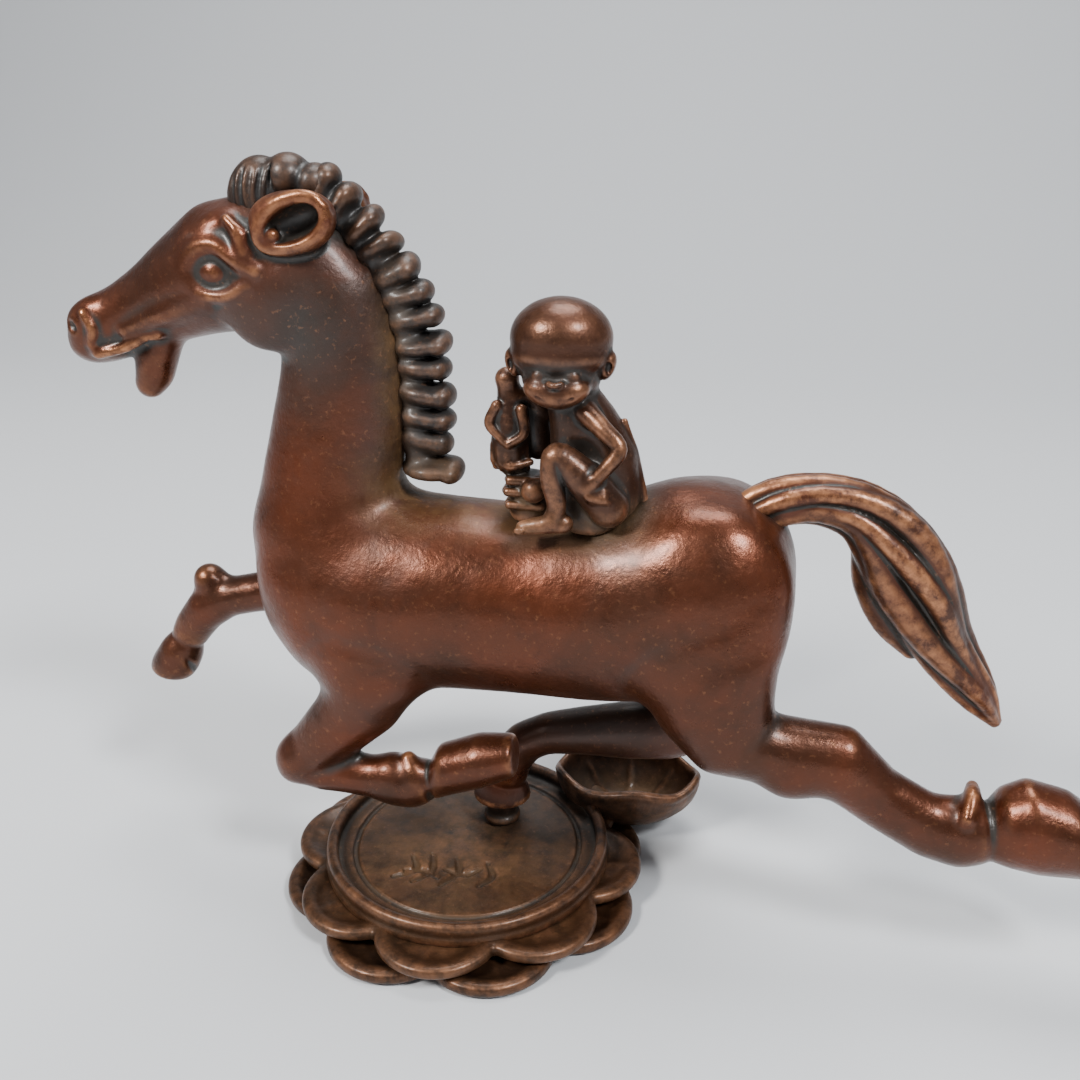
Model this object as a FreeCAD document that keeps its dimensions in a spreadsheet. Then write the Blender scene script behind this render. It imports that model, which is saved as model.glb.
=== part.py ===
"""Galloping bronze horse on a lotus base, with a squatting rider and a small companion.

Frame: millimetres, origin at the centre of the base's underside, +Z up, +X towards the
tail and +Y to the horse's right.  Each organic casting is a loft through oval rings.  A
ring is a unit circle scaled and placed by expressions on the Sizes sheet, and its place is
given as shares of its limb's length, so one cell makes a limb longer or thicker.
"""
import FreeCAD, Part
import os
import re

SIZES = {
    # lotus base
    "dish_radius": 19.4, "dish_wall": 1.7, "dish_floor": 5.0, "dish_lip": 1.6,
    "plate_radius": 16.0, "petal_radius": 7.2, "petal_cup": 1.3, "petal_rim": 1.2,
    "petal_thick": 2.0,
    "lower_reach": 24.8, "lower_plate": 2.6,
    "upper_reach": 24.0, "upper_plate": 1.4, "upper_lift": 0.3, "upper_tilt": 10.0,
    "leaf_along": 20.6, "leaf_aside": 14.5, "leaf_rim_up": 9.6,
    "leaf_long": 20.4, "leaf_broad": 13.0, "leaf_deep": 8.4, "leaf_wall": 1.3,
    # trunk
    "trunk_front": -25.5, "trunk_up": 44.0, "trunk_length": 66.0,
    "trunk_depth": 27.6, "trunk_width": 24.6,
    # neck, head and what stands on them
    "neck_along": -12.5, "neck_up": 43.0, "neck_length": 40.0,
    "neck_depth": 16.0, "neck_width": 11.2,
    "head_length": 27.0, "head_depth": 15.0, "head_width": 12.4,
    "jaw_length": 12.0, "jaw_depth": 4.4, "jaw_width": 5.4,
    "ear_length": 9.8, "ear_height": 6.4, "ear_thick": 4.4, "ear_wall": 1.2, "ear_apart": 11.6,
    "mane_long": 5.0, "mane_broad": 5.8, "mane_rib": 1.7, "mane_spine": 1.9, "mane_root": 1.2,
    "lock_round": 5.6, "lock_broad": 6.4, "lock_along": 0.4, "lock_up": 6.0,
    # tail
    "tail_along": 32.5, "tail_up": 53.6, "tail_length": 40.0,
    "tail_depth": 11.8, "tail_width": 7.2,
    # legs: where they leave the trunk, their lengths and their thickness
    "fore_apart": 13.4, "hind_apart": 15.6, "leg_width": 9.2,
    "left_fore_along": -10.5, "left_fore_up": 39.5, "left_fore_length": 22.0,
    "left_fore_deep": 11.2, "left_cannon": 18.0, "left_cannon_deep": 7.0,
    "right_fore_along": -13.0, "right_fore_up": 41.5, "right_fore_length": 32.0,
    "right_fore_deep": 8.4,
    "left_hind_along": 28.5, "left_hind_up": 46.0, "left_hind_length": 44.0,
    "left_hind_deep": 16.2,
    "right_hind_along": 26.5, "right_hind_up": 42.0, "right_hind_deep": 13.6,
    "foot_along": 3.6, "foot_aside": 6.0,
    "hoof_length": 12.0, "hoof_deep": 7.0, "hoof_width": 7.4,
    "big_hoof_length": 17.0, "big_hoof_deep": 11.6, "big_hoof_width": 9.2,
    # rider, companion and plinth
    "seat_along": 17.4, "seat_aside": -2.6, "seat_up": 53.0,
    "torso_height": 17.5, "torso_depth": 10.4, "torso_width": 8.6,
    "skull": 10.7, "muzzle": 5.6, "monkey_ear": 2.6, "limb_thick": 3.0,
    "plinth_along": 9.0, "plinth_aside": -1.4, "plinth_radius": 2.3, "plinth_top": 59.4,
    "plinth_foot": 52.0, "ball": 2.8,
    "friend_height": 9.6, "friend_depth": 5.8, "friend_head": 3.0,
    # pegs that hold the castings together
    "peg_fit": 0.10, "peg_end_gap": 0.30, "peg_length": 6.0, "hoof_peg_length": 2.2,
    "neck_peg": 3.0, "head_peg": 2.2, "tail_peg": 1.1, "leg_peg": 1.7, "hoof_peg": 0.9,
    "rider_peg": 1.4, "small_peg": 0.8, "foot_stud": 1.3, "rivet_head": 2.6, "rivet_thick": 0.9,
}
PETALS = 8
MANE_RIBS = 12

doc = FreeCAD.newDocument("horse_statue")
sheet = doc.addObject("Spreadsheet::Sheet", "Sizes")
for row, (alias, value) in enumerate(SIZES.items(), start=1):
    sheet.set(f"A{row}", alias)
    sheet.set(f"B{row}", str(value))
    sheet.setAlias(f"B{row}", alias)
doc.recompute()

PARTS = {}


def cell(words):
    """Put the sheet's name in front of each size named in an expression."""
    return re.sub(r"[a-z_]+", lambda m: "Sizes." + m[0] if m[0] in SIZES else m[0], words)


def size(alias):
    return sheet.get(alias)


def bind(thing, **sizes):
    for prop, words in sizes.items():
        thing.setExpression(prop, cell(words))
    return thing


# Round pieces are spun about their own axis by this, so that no two seam lines coincide.
SPIN = FreeCAD.Rotation(FreeCAD.Vector(0, 0, 1), 37.0)


def place(thing, x="0", y="0", z="0", axis=(0, 1, 0), angle=0.0, spin=False):
    """Stand a thing at expressions x, y, z, turned by a fixed angle about an axis."""
    turn = FreeCAD.Rotation(FreeCAD.Vector(*axis), angle)
    turn = turn * SPIN if spin else turn
    thing.Placement = FreeCAD.Placement(FreeCAD.Vector(), turn)
    for letter, words in zip("xyz", (x, y, z)):
        thing.setExpression(f".Placement.Base.{letter}", cell(words))
    return thing


def cut(name, base, tool):
    out = doc.addObject("Part::Cut", name)
    out.Base, out.Tool = base, tool
    return out


def fuse(name, things):
    if len(things) == 1:
        return things[0]
    out = doc.addObject("Part::MultiFuse", name)
    out.Shapes = things
    return out


def seat(name, blank, host, pin):
    """Trim a casting where it enters its host, leaving its pin standing in the host."""
    return cut(name + "_seated", blank, cut(name + "_host", host, pin))


def node(label, thing):
    """Name the finished sub-part."""
    thing.Label = label
    PARTS[label] = thing
    return thing


# ---------------------------------------------------------------- rings and limbs
unit_ring = doc.addObject("Part::Circle", "unit_ring")
unit_ring.Radius = 1.0


def limb(name, root, reach, deep, wide, stations, rise=None, first=None):
    """Loft a casting through oval rings.

    root is the place of the limb's start and reach the length that its shares multiply;
    rise is that length upwards, where it differs.  A station is (ahead, aside, up, deep,
    wide, lean): shares of reach, of the root's Y, of rise, of the limb's depth and width,
    and the direction of the ring's long axis in degrees from +X towards +Z.
    """
    x, y, z = root
    rings = [first] if first else []
    for count, (ahead, aside, up, d, w, lean) in enumerate(stations):
        ring = doc.addObject("Part::Scale", f"{name}_ring_{count}")
        ring.Base, ring.Uniform = unit_ring, False
        bind(ring, XScale=f"({deep}) / 2 * {d}", YScale=f"({wide}) / 2 * {w}")
        place(ring, f"({x}) + ({reach}) * {ahead}", f"({y}) * {aside}",
              f"({z}) + ({rise or reach}) * {up}", angle=-lean)
        rings.append(ring)
    loft = doc.addObject("Part::Loft", name + "_loft")
    loft.Sections, loft.Solid, loft.Ruled = rings, True, True
    return loft, rings


def at(ring):
    """The place of a ring as three plain numbers, in expressions."""
    return [f"{ring.Name}.Placement.Base.{letter} / 1mm" for letter in "xyz"]


def peg(name, ring, radius, back, ahead):
    """A round peg along a ring's normal, and the socket that takes its back end."""
    pin = bind(doc.addObject("Part::Cylinder", name + "_peg"),
               Radius=radius, Height=f"({back}) + ({ahead})")
    hole = bind(doc.addObject("Part::Cylinder", name + "_socket"),
                Radius=f"{radius} + peg_fit", Height=f"({back}) + peg_end_gap + ({ahead})")
    for thing, start in ((pin, back), (hole, f"({back}) + peg_end_gap")):
        words = f"{ring.Name}.Placement * placement(vector(0; 0; -({start})); " \
                "rotation(vector(0; 0; 1); 0))"
        thing.setExpression("Placement", cell(words))
    return pin, hole


# ---------------------------------------------------------------- horse: trunk to muzzle
trunk_loft, _ = limb(
    "trunk", ("trunk_front", "0", "trunk_up"), "trunk_length", "trunk_depth", "trunk_width",
    [(0.000, 1, 0.065, 0.26, 0.26, 90), (0.029, 1, 0.022, 0.62, 0.57, 90),
     (0.098, 1, -0.051, 0.87, 0.80, 90), (0.220, 1, -0.080, 0.97, 0.91, 90),
     (0.356, 1, -0.047, 0.88, 0.92, 90), (0.508, 1, -0.054, 0.85, 0.91, 90),
     (0.659, 1, -0.029, 0.91, 0.93, 90), (0.795, 1, 0.043, 1.00, 1.00, 90),
     (0.902, 1, 0.080, 0.90, 0.93, 90), (0.971, 1, 0.109, 0.61, 0.63, 90),
     (0.998, 1, 0.123, 0.25, 0.26, 90)], rise="trunk_depth")

neck_loft, neck_rings = limb(
    "neck", ("neck_along", "0", "neck_up"), "neck_length", "neck_depth", "neck_width",
    [(0.000, 1, 0.000, 1.10, 1.15, 25), (-0.092, 1, 0.175, 1.24, 1.32, 22),
     (-0.097, 1, 0.287, 1.12, 1.25, 9), (-0.062, 1, 0.428, 1.07, 1.11, 1),
     (-0.033, 1, 0.585, 1.00, 1.00, 0), (-0.017, 1, 0.738, 0.91, 0.93, 6),
     (-0.042, 1, 0.875, 0.88, 0.95, 28), (-0.108, 1, 0.950, 0.91, 1.02, 47),
     (-0.190, 1, 0.985, 0.96, 1.07, 67)])
poll = neck_rings[-1]
POLL = at(poll)

skull_loft, _ = limb(
    "skull", POLL, "head_length", "head_depth", "head_width",
    [(-0.159, 1, 0.000, 1.00, 1.00, 93), (-0.333, 1, -0.026, 0.97, 0.97, 91),
     (-0.504, 1, -0.115, 0.80, 0.79, 92), (-0.644, 1, -0.178, 0.57, 0.63, 98),
     (-0.774, 1, -0.252, 0.53, 0.58, 96), (-0.907, 1, -0.315, 0.53, 0.60, 100),
     (-1.004, 1, -0.363, 0.29, 0.35, 98)], first=poll)
jaw = bind(doc.addObject("Part::Ellipsoid", "jaw"), Radius1="jaw_length / 2",
           Radius2="jaw_depth / 2", Radius3="jaw_width / 2")
place(jaw, f"({POLL[0]}) - head_length * 0.61", "0", f"({POLL[2]}) - head_length * 0.40",
      angle=28.0)
head_solid = fuse("head_solid", [skull_loft, jaw])

tail_loft, tail_rings = limb(
    "tail", ("tail_along", "0", "tail_up"), "tail_length", "tail_depth", "tail_width",
    [(0.000, 1, 0.000, 0.41, 0.61, -62), (0.062, 1, 0.042, 0.42, 0.61, -66),
     (0.145, 1, 0.082, 0.42, 0.64, -84), (0.265, 1, 0.097, 0.42, 0.72, -97),
     (0.378, 1, 0.067, 0.51, 0.86, -118), (0.443, 1, -0.005, 0.80, 1.00, -137),
     (0.497, 1, -0.100, 1.00, 1.00, -145), (0.557, 1, -0.205, 0.80, 0.89, -151),
     (0.607, 1, -0.297, 0.63, 0.78, -148), (0.672, 1, -0.390, 0.51, 0.67, -150),
     (0.750, 1, -0.478, 0.39, 0.53, -146), (0.812, 1, -0.562, 0.20, 0.31, -135)])

# ---------------------------------------------------------------- legs
LEFT_FORE_Y, RIGHT_FORE_Y = "-fore_apart / 2", "fore_apart / 2"
arm_loft, arm_rings = limb(
    "left_arm", ("left_fore_along", LEFT_FORE_Y, "left_fore_up"),
    "left_fore_length", "left_fore_deep", "leg_width",
    [(0.000, 0.93, 0.000, 1.25, 0.91, 180), (0.027, 1.01, -0.345, 1.00, 0.96, 182),
     (-0.100, 1.04, -0.532, 0.98, 0.87, 174), (-0.282, 1.04, -0.727, 0.80, 0.76, 172),
     (-0.395, 1.04, -0.850, 0.62, 0.67, 170), (-0.450, 1.04, -0.950, 0.36, 0.41, 170)])
knee = "left_fore_along - left_fore_length * 0.432", LEFT_FORE_Y, \
    "left_fore_up - left_fore_length * 0.905"
cannon_loft, cannon_rings = limb(
    "left_cannon", knee, "left_cannon", "left_cannon_deep", "leg_width",
    [(0.000, 1.04, 0.000, 0.51, 0.39, -95), (0.133, 1.04, -0.017, 0.77, 0.54, -98),
     (0.339, 1.04, -0.028, 0.74, 0.52, -98), (0.522, 1.04, -0.039, 0.77, 0.54, -94),
     (0.667, 1.04, -0.039, 1.00, 0.63, -90), (0.828, 1.04, -0.061, 0.91, 0.61, -89),
     (0.978, 1.04, -0.017, 0.71, 0.54, -80)])
right_fore_loft, right_fore_rings = limb(
    "right_fore", ("right_fore_along", RIGHT_FORE_Y, "right_fore_up"),
    "right_fore_length", "right_fore_deep", "leg_width",
    [(0.000, 0.90, 0.000, 1.33, 0.91, 85), (-0.219, 0.99, -0.059, 1.00, 0.78, 85),
     (-0.375, 1.04, -0.103, 0.71, 0.61, 88), (-0.531, 1.04, -0.131, 0.62, 0.54, 90),
     (-0.672, 1.04, -0.166, 0.60, 0.54, 102), (-0.794, 1.04, -0.231, 0.69, 0.59, 120),
     (-0.869, 1.04, -0.328, 0.62, 0.52, 140), (-0.906, 1.04, -0.394, 0.55, 0.50, 150)])
left_hind_loft, left_hind_rings = limb(
    "left_hind", ("left_hind_along", "-hind_apart / 2", "left_hind_up"),
    "left_hind_length", "left_hind_deep", "leg_width",
    [(0.000, 0.79, 0.000, 1.11, 1.00, 200), (0.068, 1.05, -0.161, 1.00, 1.07, 204),
     (0.089, 1.06, -0.273, 0.84, 1.00, 200), (0.148, 1.03, -0.368, 0.67, 0.91, 222),
     (0.291, 1.03, -0.386, 0.52, 0.78, 267), (0.430, 1.03, -0.407, 0.57, 0.78, 259),
     (0.536, 1.03, -0.500, 0.43, 0.65, 249), (0.661, 1.03, -0.570, 0.46, 0.67, 258),
     (0.752, 1.03, -0.582, 0.53, 0.74, 268), (0.802, 1.03, -0.568, 0.49, 0.72, 278),
     (0.820, 1.03, -0.577, 0.40, 0.65, 280)])

# The standing leg runs from the right haunch to the dish, so both ends fix its shape.
STAND = "right_hind_along", "foot_aside", "right_hind_up"
STAND_REACH = "foot_along - right_hind_along"
STAND_DROP = "dish_floor - right_hind_up"
thigh_loft, thigh_rings = limb(
    "right_thigh", STAND, STAND_REACH, "right_hind_deep", "leg_width",
    [(0.000, 1.00, 0.000, 1.25, 1.00, 180), (-0.066, 1.27, 0.227, 1.00, 1.00, 183),
     (-0.109, 1.23, 0.388, 0.76, 0.87, 190), (-0.118, 1.17, 0.508, 0.62, 0.74, 200),
     (-0.092, 1.13, 0.578, 0.38, 0.52, 210)], rise=STAND_DROP)
shank_loft, shank_rings = limb(
    "right_shank", STAND, STAND_REACH, "right_hind_deep", "leg_width",
    [(-0.162, 1.13, 0.545, 0.47, 0.61, 92), (-0.022, 1.13, 0.556, 0.59, 0.70, 93),
     (0.240, 1.10, 0.572, 0.57, 0.65, 93), (0.502, 1.07, 0.586, 0.47, 0.59, 94),
     (0.721, 1.03, 0.610, 0.40, 0.54, 100), (0.869, 1.02, 0.663, 0.40, 0.54, 122),
     (0.956, 1.00, 0.749, 0.44, 0.61, 152), (0.987, 1.00, 0.818, 0.47, 0.65, 170)],
    rise=STAND_DROP)

# Each hoof starts on the last ring of its leg, so the two castings meet face to face.
HOOVES = {
    "left_fore_hoof": (cannon_rings[-1], "hoof", [
        (0.117, 1, 0.142, 0.94, 0.87, -78), (0.508, 1, 0.300, 0.97, 0.92, -84),
        (0.883, 1, 0.408, 0.74, 0.76, -84)]),
    "right_fore_hoof": (right_fore_rings[-1], "hoof", [
        (-0.083, 1, -0.142, 0.83, 0.76, 152), (-0.200, 1, -0.333, 0.91, 0.81, 160),
        (-0.267, 1, -0.442, 0.83, 0.76, 165)]),
    "left_hind_hoof": (left_hind_rings[-1], "big_hoof", [
        (0.106, 1, 0.059, 0.83, 0.87, 281), (0.276, 1, 0.088, 1.00, 1.00, 282),
        (0.559, 1, 0.059, 0.90, 1.00, 285), (0.788, 1, -0.024, 0.69, 0.87, 290),
        (0.965, 1, -0.106, 0.41, 0.61, 292)]),
}
hoof_lofts = {}
for name, (ring, kind, stations) in HOOVES.items():
    hoof_lofts[name], _ = limb(name, at(ring), kind + "_length", kind + "_deep",
                               kind + "_width", stations, first=ring)
hoof_lofts["right_hind_hoof"], _ = limb(
    "right_hind_hoof", STAND, STAND_REACH, "hoof_deep", "hoof_width",
    [(0.996, 1, 0.877, 1.11, 0.97, 175), (1.000, 1, 1.000, 1.34, 1.16, 180)],
    rise=STAND_DROP, first=shank_rings[-1])

# ---------------------------------------------------------------- pegs between castings
neck_pin, neck_hole = peg("neck", neck_rings[2], "neck_peg", "peg_length * 1.6", "peg_length")
head_pin, head_hole = peg("head", poll, "head_peg", "peg_length", "peg_length / 2")
tail_pin, tail_hole = peg("tail", tail_rings[1], "tail_peg", "peg_length", "peg_length / 2")
leg_pegs = {
    "left_fore": peg("left_fore", arm_rings[1], "leg_peg", "peg_length", "peg_length / 2"),
    "right_fore": peg("right_fore", right_fore_rings[1], "leg_peg", "peg_length",
                      "peg_length / 2"),
    "left_hind": peg("left_hind", left_hind_rings[1], "leg_peg", "peg_length",
                     "peg_length / 2"),
    "right_hind": peg("right_hind", thigh_rings[1], "leg_peg", "peg_length",
                      "peg_length / 2"),
}
hoof_pegs = {name: peg(name, ring, "hoof_peg", "hoof_peg_length", "hoof_peg_length")
             for name, (ring, _, _) in HOOVES.items()}
hoof_pegs["right_hind_hoof"] = peg("right_hind_hoof", shank_rings[-1], "hoof_peg",
                                   "hoof_peg_length", "hoof_peg_length")

# ---------------------------------------------------------------- lotus base
def disc(name, radius, height, up="0", x="0", y="0"):
    out = bind(doc.addObject("Part::Cylinder", name), Radius=radius, Height=height)
    return place(out, x, y, up, axis=(0, 0, 1))


def tier(name, reach, plate_up, plate_thick, petal_up, petal_thick, tilt, first_angle):
    """A plate with a ring of cupped petals that lean outwards and down by tilt."""
    petals, cups = [], []
    for count in range(PETALS):
        angle = first_angle + 360 / PETALS * count
        along = f"({reach} - petal_radius)"
        spot = [f"{along} * cos({angle})", f"{along} * sin({angle})"]
        leaf = bind(doc.addObject("Part::Cylinder", f"{name}_petal_{count}"),
                    Radius="petal_radius", Height=petal_thick)
        cup = bind(doc.addObject("Part::Ellipsoid", f"{name}_cup_{count}"),
                   Radius1="petal_cup", Radius2="petal_radius - petal_rim",
                   Radius3="petal_radius - petal_rim")
        for thing, lift in ((leaf, "0"), (cup, petal_thick)):
            words = f"placement(vector({spot[0]}; {spot[1]}; {petal_up}); " \
                    f"rotation(vector(0; 0; 1); {angle})) * " \
                    f"placement(vector(0; 0; 0); rotation(vector(0; 1; 0); {tilt})) * " \
                    f"placement(vector(0; 0; {lift}); rotation(vector(0; 0; 1); 0))"
            thing.setExpression("Placement", cell(words))
        petals.append(leaf)
        cups.append(cup)
    plate = disc(name + "_disc", "plate_radius", plate_thick, plate_up)
    return cut(name + "_cupped", fuse(name + "_blank", [plate] + petals),
               fuse(name + "_cups", cups))


DISH_UNDER = "lower_plate + upper_plate"
lower = tier("lower", "lower_reach", "0", "lower_plate", "0", "lower_plate", "0", 22.5 - 90)
upper = tier("upper", "upper_reach", "lower_plate", "upper_plate", "lower_plate + upper_lift",
             "petal_thick", "upper_tilt", -90)
lower_stock = disc("lower_stock", "lower_reach * 1.2", "lower_plate")

dish_blank = disc("dish_blank", "dish_radius", f"dish_floor + dish_lip - ({DISH_UNDER})",
                  DISH_UNDER)
dish_hollow = disc("dish_hollow", "dish_radius - dish_wall", "dish_lip * 2", "dish_floor")
dish_raw = cut("dish_raw", dish_blank, dish_hollow)
upper_raw = cut("upper_over_lower", upper, lower_stock)
upper_seated = cut("upper_under_dish", upper_raw, dish_blank)

stud = disc("stud_shank", "foot_stud", "dish_floor + hoof_length / 3", "0",
            "foot_along", "foot_aside")
stud_hole = disc("stud_hole", "foot_stud + peg_fit",
                 "dish_floor + hoof_length / 3 + peg_end_gap", "0", "foot_along", "foot_aside")
stud_head = disc("stud_head", "rivet_head", "rivet_thick", "0", "foot_along", "foot_aside")
stud_recess = disc("stud_recess", "rivet_head + peg_fit", "rivet_thick", "0",
                   "foot_along", "foot_aside")
node("foot_stud", fuse("foot_stud_solid", [stud, stud_head]))
node("lower_petals", cut("lower_petals_solid", lower,
                         fuse("lower_holes", [stud_hole, stud_recess])))
node("upper_petals", cut("upper_petals_solid", upper_seated, stud_hole))
node("dish", cut("dish_solid", dish_raw, stud_hole))


def egg(name, x, y, z, long, broad, high):
    """An ellipsoid by its three full sizes along X, Y and Z."""
    out = bind(doc.addObject("Part::Ellipsoid", name), Radius1=f"({high}) / 2",
               Radius2=f"({long}) / 2", Radius3=f"({broad}) / 2")
    return place(out, x, y, z)


leaf_spot = "leaf_along", "leaf_aside", "leaf_rim_up"
leaf_out = egg("leaf_out", *leaf_spot, "leaf_long", "leaf_broad", "leaf_deep * 2")
leaf_in = egg("leaf_in", *leaf_spot, "leaf_long - leaf_wall * 2",
              "leaf_broad - leaf_wall * 2", "(leaf_deep - leaf_wall) * 2")
leaf_top = bind(doc.addObject("Part::Box", "leaf_top"), Length="leaf_long * 1.2",
                Width="leaf_broad * 1.2", Height="leaf_deep * 1.2")
place(leaf_top, "leaf_along - leaf_long * 0.6", "leaf_aside - leaf_broad * 0.6",
      "leaf_rim_up", axis=(0, 0, 1))
leaf_shell = cut("leaf_shell", leaf_out, fuse("leaf_tools", [leaf_in, leaf_top]))
leaf_over_lower = cut("leaf_over_lower", leaf_shell, lower)
leaf_beside_dish = cut("leaf_beside_dish", leaf_over_lower, dish_blank)
node("lotus_leaf", cut("leaf_clear", leaf_beside_dish, upper_seated))

# ---------------------------------------------------------------- ears, forelock, mane
EAR_UP = f"({POLL[2]}) + ear_height * 0.84"
EAR_ALONG = f"({POLL[0]}) + ear_length * 0.42"
for side, sign in (("left", -1), ("right", 1)):
    out_y = f"{sign} * ear_apart / 2"
    shell = egg(side + "_ear_out", EAR_ALONG, out_y, EAR_UP,
                "ear_length", "ear_thick", "ear_height")
    hollow = egg(side + "_ear_in", EAR_ALONG, f"{sign} * (ear_apart + ear_thick) / 2", EAR_UP,
                 "ear_length - ear_wall * 2", "ear_thick", "ear_height - ear_wall * 2")
    cup = cut(side + "_ear_cup", shell, hollow)
    ear_off_head = cut(side + "_ear_off_head", cup, skull_loft)
    node(side + "_ear", cut(side + "_ear_solid", ear_off_head, neck_loft))

doc.recompute()


def crest(share):
    """A place on the crest of the neck and its outward direction, at a share of its rings."""
    count = min(int(share * (len(neck_rings) - 1)), len(neck_rings) - 2)
    part = share * (len(neck_rings) - 1) - count
    ends = []
    for ring in neck_rings[count:count + 2]:
        outward = ring.Placement.Rotation.multVec(FreeCAD.Vector(1, 0, 0))
        ends.append((ring.Placement.Base + outward * ring.XScale, outward))
    spot = ends[0][0] * (1 - part) + ends[1][0] * part
    outward = ends[0][1] * (1 - part) + ends[1][1] * part
    return spot, outward.normalize()


MANE_LOW, MANE_HIGH = 0.34, 0.893
teeth, roots = [], []
for count in range(MANE_RIBS):
    share = MANE_LOW + (MANE_HIGH - MANE_LOW) * count / (MANE_RIBS - 1)
    spot, outward = crest(share)
    upward = FreeCAD.Vector(-outward.z, 0, outward.x)
    for edge, reach in ((-1, "mane_spine"), (-1, "mane_long"), (1, "mane_long"), (1, "mane_spine")):
        teeth.append(spot + upward * edge * size("mane_rib") / 2 + outward * size(reach))
    roots.append(spot - outward * size("mane_root"))
comb = doc.addObject("Part::Polygon", "mane_comb")
comb.Nodes, comb.Close = teeth + roots[::-1], True
blank = bind(doc.addObject("Part::Extrusion", "mane_blank"), LengthFwd="mane_broad / 2",
             LengthRev="mane_broad / 2")
blank.Base, blank.DirMode, blank.Dir, blank.Solid = comb, "Custom", FreeCAD.Vector(0, 1, 0), True

forelock = bind(doc.addObject("Part::Cylinder", "forelock_disc"), Radius="lock_round",
                Height="lock_broad")
place(forelock, f"({POLL[0]}) + lock_along", "lock_broad / 2",
      f"({POLL[2]}) + lock_up", axis=(1, 0, 0), angle=90.0, spin=True)
forelock_off_head = cut("forelock_off_head", forelock, skull_loft)
node("forelock", cut("forelock_solid", forelock_off_head, neck_loft))
node("mane", cut("mane_solid", blank, neck_loft))

# ---------------------------------------------------------------- rider and companion
torso_loft, torso_rings = limb(
    "torso", ("seat_along", "seat_aside", "seat_up"), "torso_height", "torso_depth",
    "torso_width",
    [(0.011, 1, 0.000, 0.96, 0.93, 0), (-0.011, 1, 0.269, 1.00, 1.00, 0),
     (-0.034, 1, 0.577, 0.94, 0.95, 2), (-0.114, 1, 0.823, 0.69, 0.79, 6),
     (-0.171, 1.08, 0.994, 0.42, 0.51, 6)])
NAPE = at(torso_rings[-1])
skull_up = f"({NAPE[2]}) + skull * 0.43"
skull_ball = egg("rider_skull", f"({NAPE[0]}) - skull * 0.12", NAPE[1], skull_up,
                 "skull", "skull", "skull * 0.96")
muzzle_ball = egg("rider_muzzle", f"({NAPE[0]}) - skull * 0.10", f"({NAPE[1]}) - skull * 0.36",
                  f"({NAPE[2]}) + skull * 0.12", "muzzle", "muzzle * 0.8", "muzzle * 0.8")
monkey_ears = [egg(f"rider_ear_{count}", f"({NAPE[0]}) + skull * {share}", NAPE[1],
                   f"({NAPE[2]}) + skull * 0.2", "monkey_ear", "monkey_ear * 0.7",
                   "monkey_ear * 1.2")
               for count, share in enumerate((-0.6, 0.36))]
rider_head = fuse("rider_head_blank", [skull_ball, muzzle_ball] + monkey_ears)


ROD_TAPER = 0.06


def bent_limb(name, points):
    """A bent arm or leg: round rods through points that are shares of the torso's height
    from the seat, each a little thinner than the one before and long enough to join it."""
    seat = FreeCAD.Vector(size("seat_along"), size("seat_aside"), size("seat_up"))
    spots = [seat + FreeCAD.Vector(*shares) * size("torso_height") for shares in points]
    rods = []
    for count, (start, end) in enumerate(zip(spots, spots[1:])):
        rod = bind(doc.addObject("Part::Cylinder", f"{name}_rod_{count}"),
                   Radius=f"limb_thick / 2 * {1 - ROD_TAPER * count}")
        along = (end - start).normalize()
        spare = size("limb_thick") / 2 * 0.8
        rod.Height = (end - start).Length + spare * 2
        rod.Placement = FreeCAD.Placement(
            start - along * spare, FreeCAD.Rotation(FreeCAD.Vector(0, 0, 1), along) * SPIN)
        rods.append(rod)
    return fuse(name + "_blank", rods)


left_leg = bent_limb("rider_left_leg", [(0.05, -0.18, 0.30), (-0.24, -0.26, 0.56),
                                        (-0.20, -0.30, 0.27), (-0.40, -0.30, 0.16)])
right_leg = bent_limb("rider_right_leg", [(0.05, 0.18, 0.30), (-0.16, 0.30, 0.52),
                                          (-0.12, 0.34, 0.27), (-0.26, 0.34, 0.17)])
left_arm = bent_limb("rider_left_arm", [(-0.05, -0.20, 0.86), (0.17, -0.28, 0.70),
                                        (-0.02, -0.36, 0.47)])
right_arm = bent_limb("rider_right_arm", [(-0.16, 0.16, 0.84), (-0.26, 0.26, 0.72),
                                          (-0.38, 0.20, 0.66)])

plinth = disc("plinth_drum", "plinth_radius", "plinth_top - plinth_foot", "plinth_foot",
              "plinth_along", "plinth_aside")
friend_root = "plinth_along - 1.2", "plinth_aside * 0.4", "plinth_top"
friend_loft, _ = limb(
    "friend", friend_root, "friend_height", "friend_depth", "friend_depth",
    [(0.00, 1, 0.00, 0.72, 0.72, 0), (-0.04, 1, 0.30, 0.98, 0.96, 0),
     (-0.02, 1, 0.62, 1.00, 0.96, 0), (-0.02, 1, 0.90, 0.62, 0.66, 0)])
friend_skull = egg("friend_skull", "plinth_along - 2.4", "plinth_aside",
                   "plinth_top + friend_height * 1.02", "friend_head", "friend_head",
                   "friend_head * 1.3")

# ---------------------------------------------------------------- finish the figures
rider_pin, rider_hole = peg("rider", torso_rings[1], "rider_peg", "peg_length * 1.2",
                            "peg_length / 2")
nape_pin, nape_hole = peg("rider_head", torso_rings[-1], "small_peg", "peg_length / 3",
                          "peg_length / 3")
plinth_pin = disc("plinth_pin", "small_peg", "peg_length", "plinth_foot - peg_length / 2",
                  "plinth_along", "plinth_aside")
plinth_hole = disc("plinth_hole", "small_peg + peg_fit", "peg_length + peg_end_gap",
                   "plinth_foot - peg_length / 2 - peg_end_gap", "plinth_along",
                   "plinth_aside")

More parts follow.
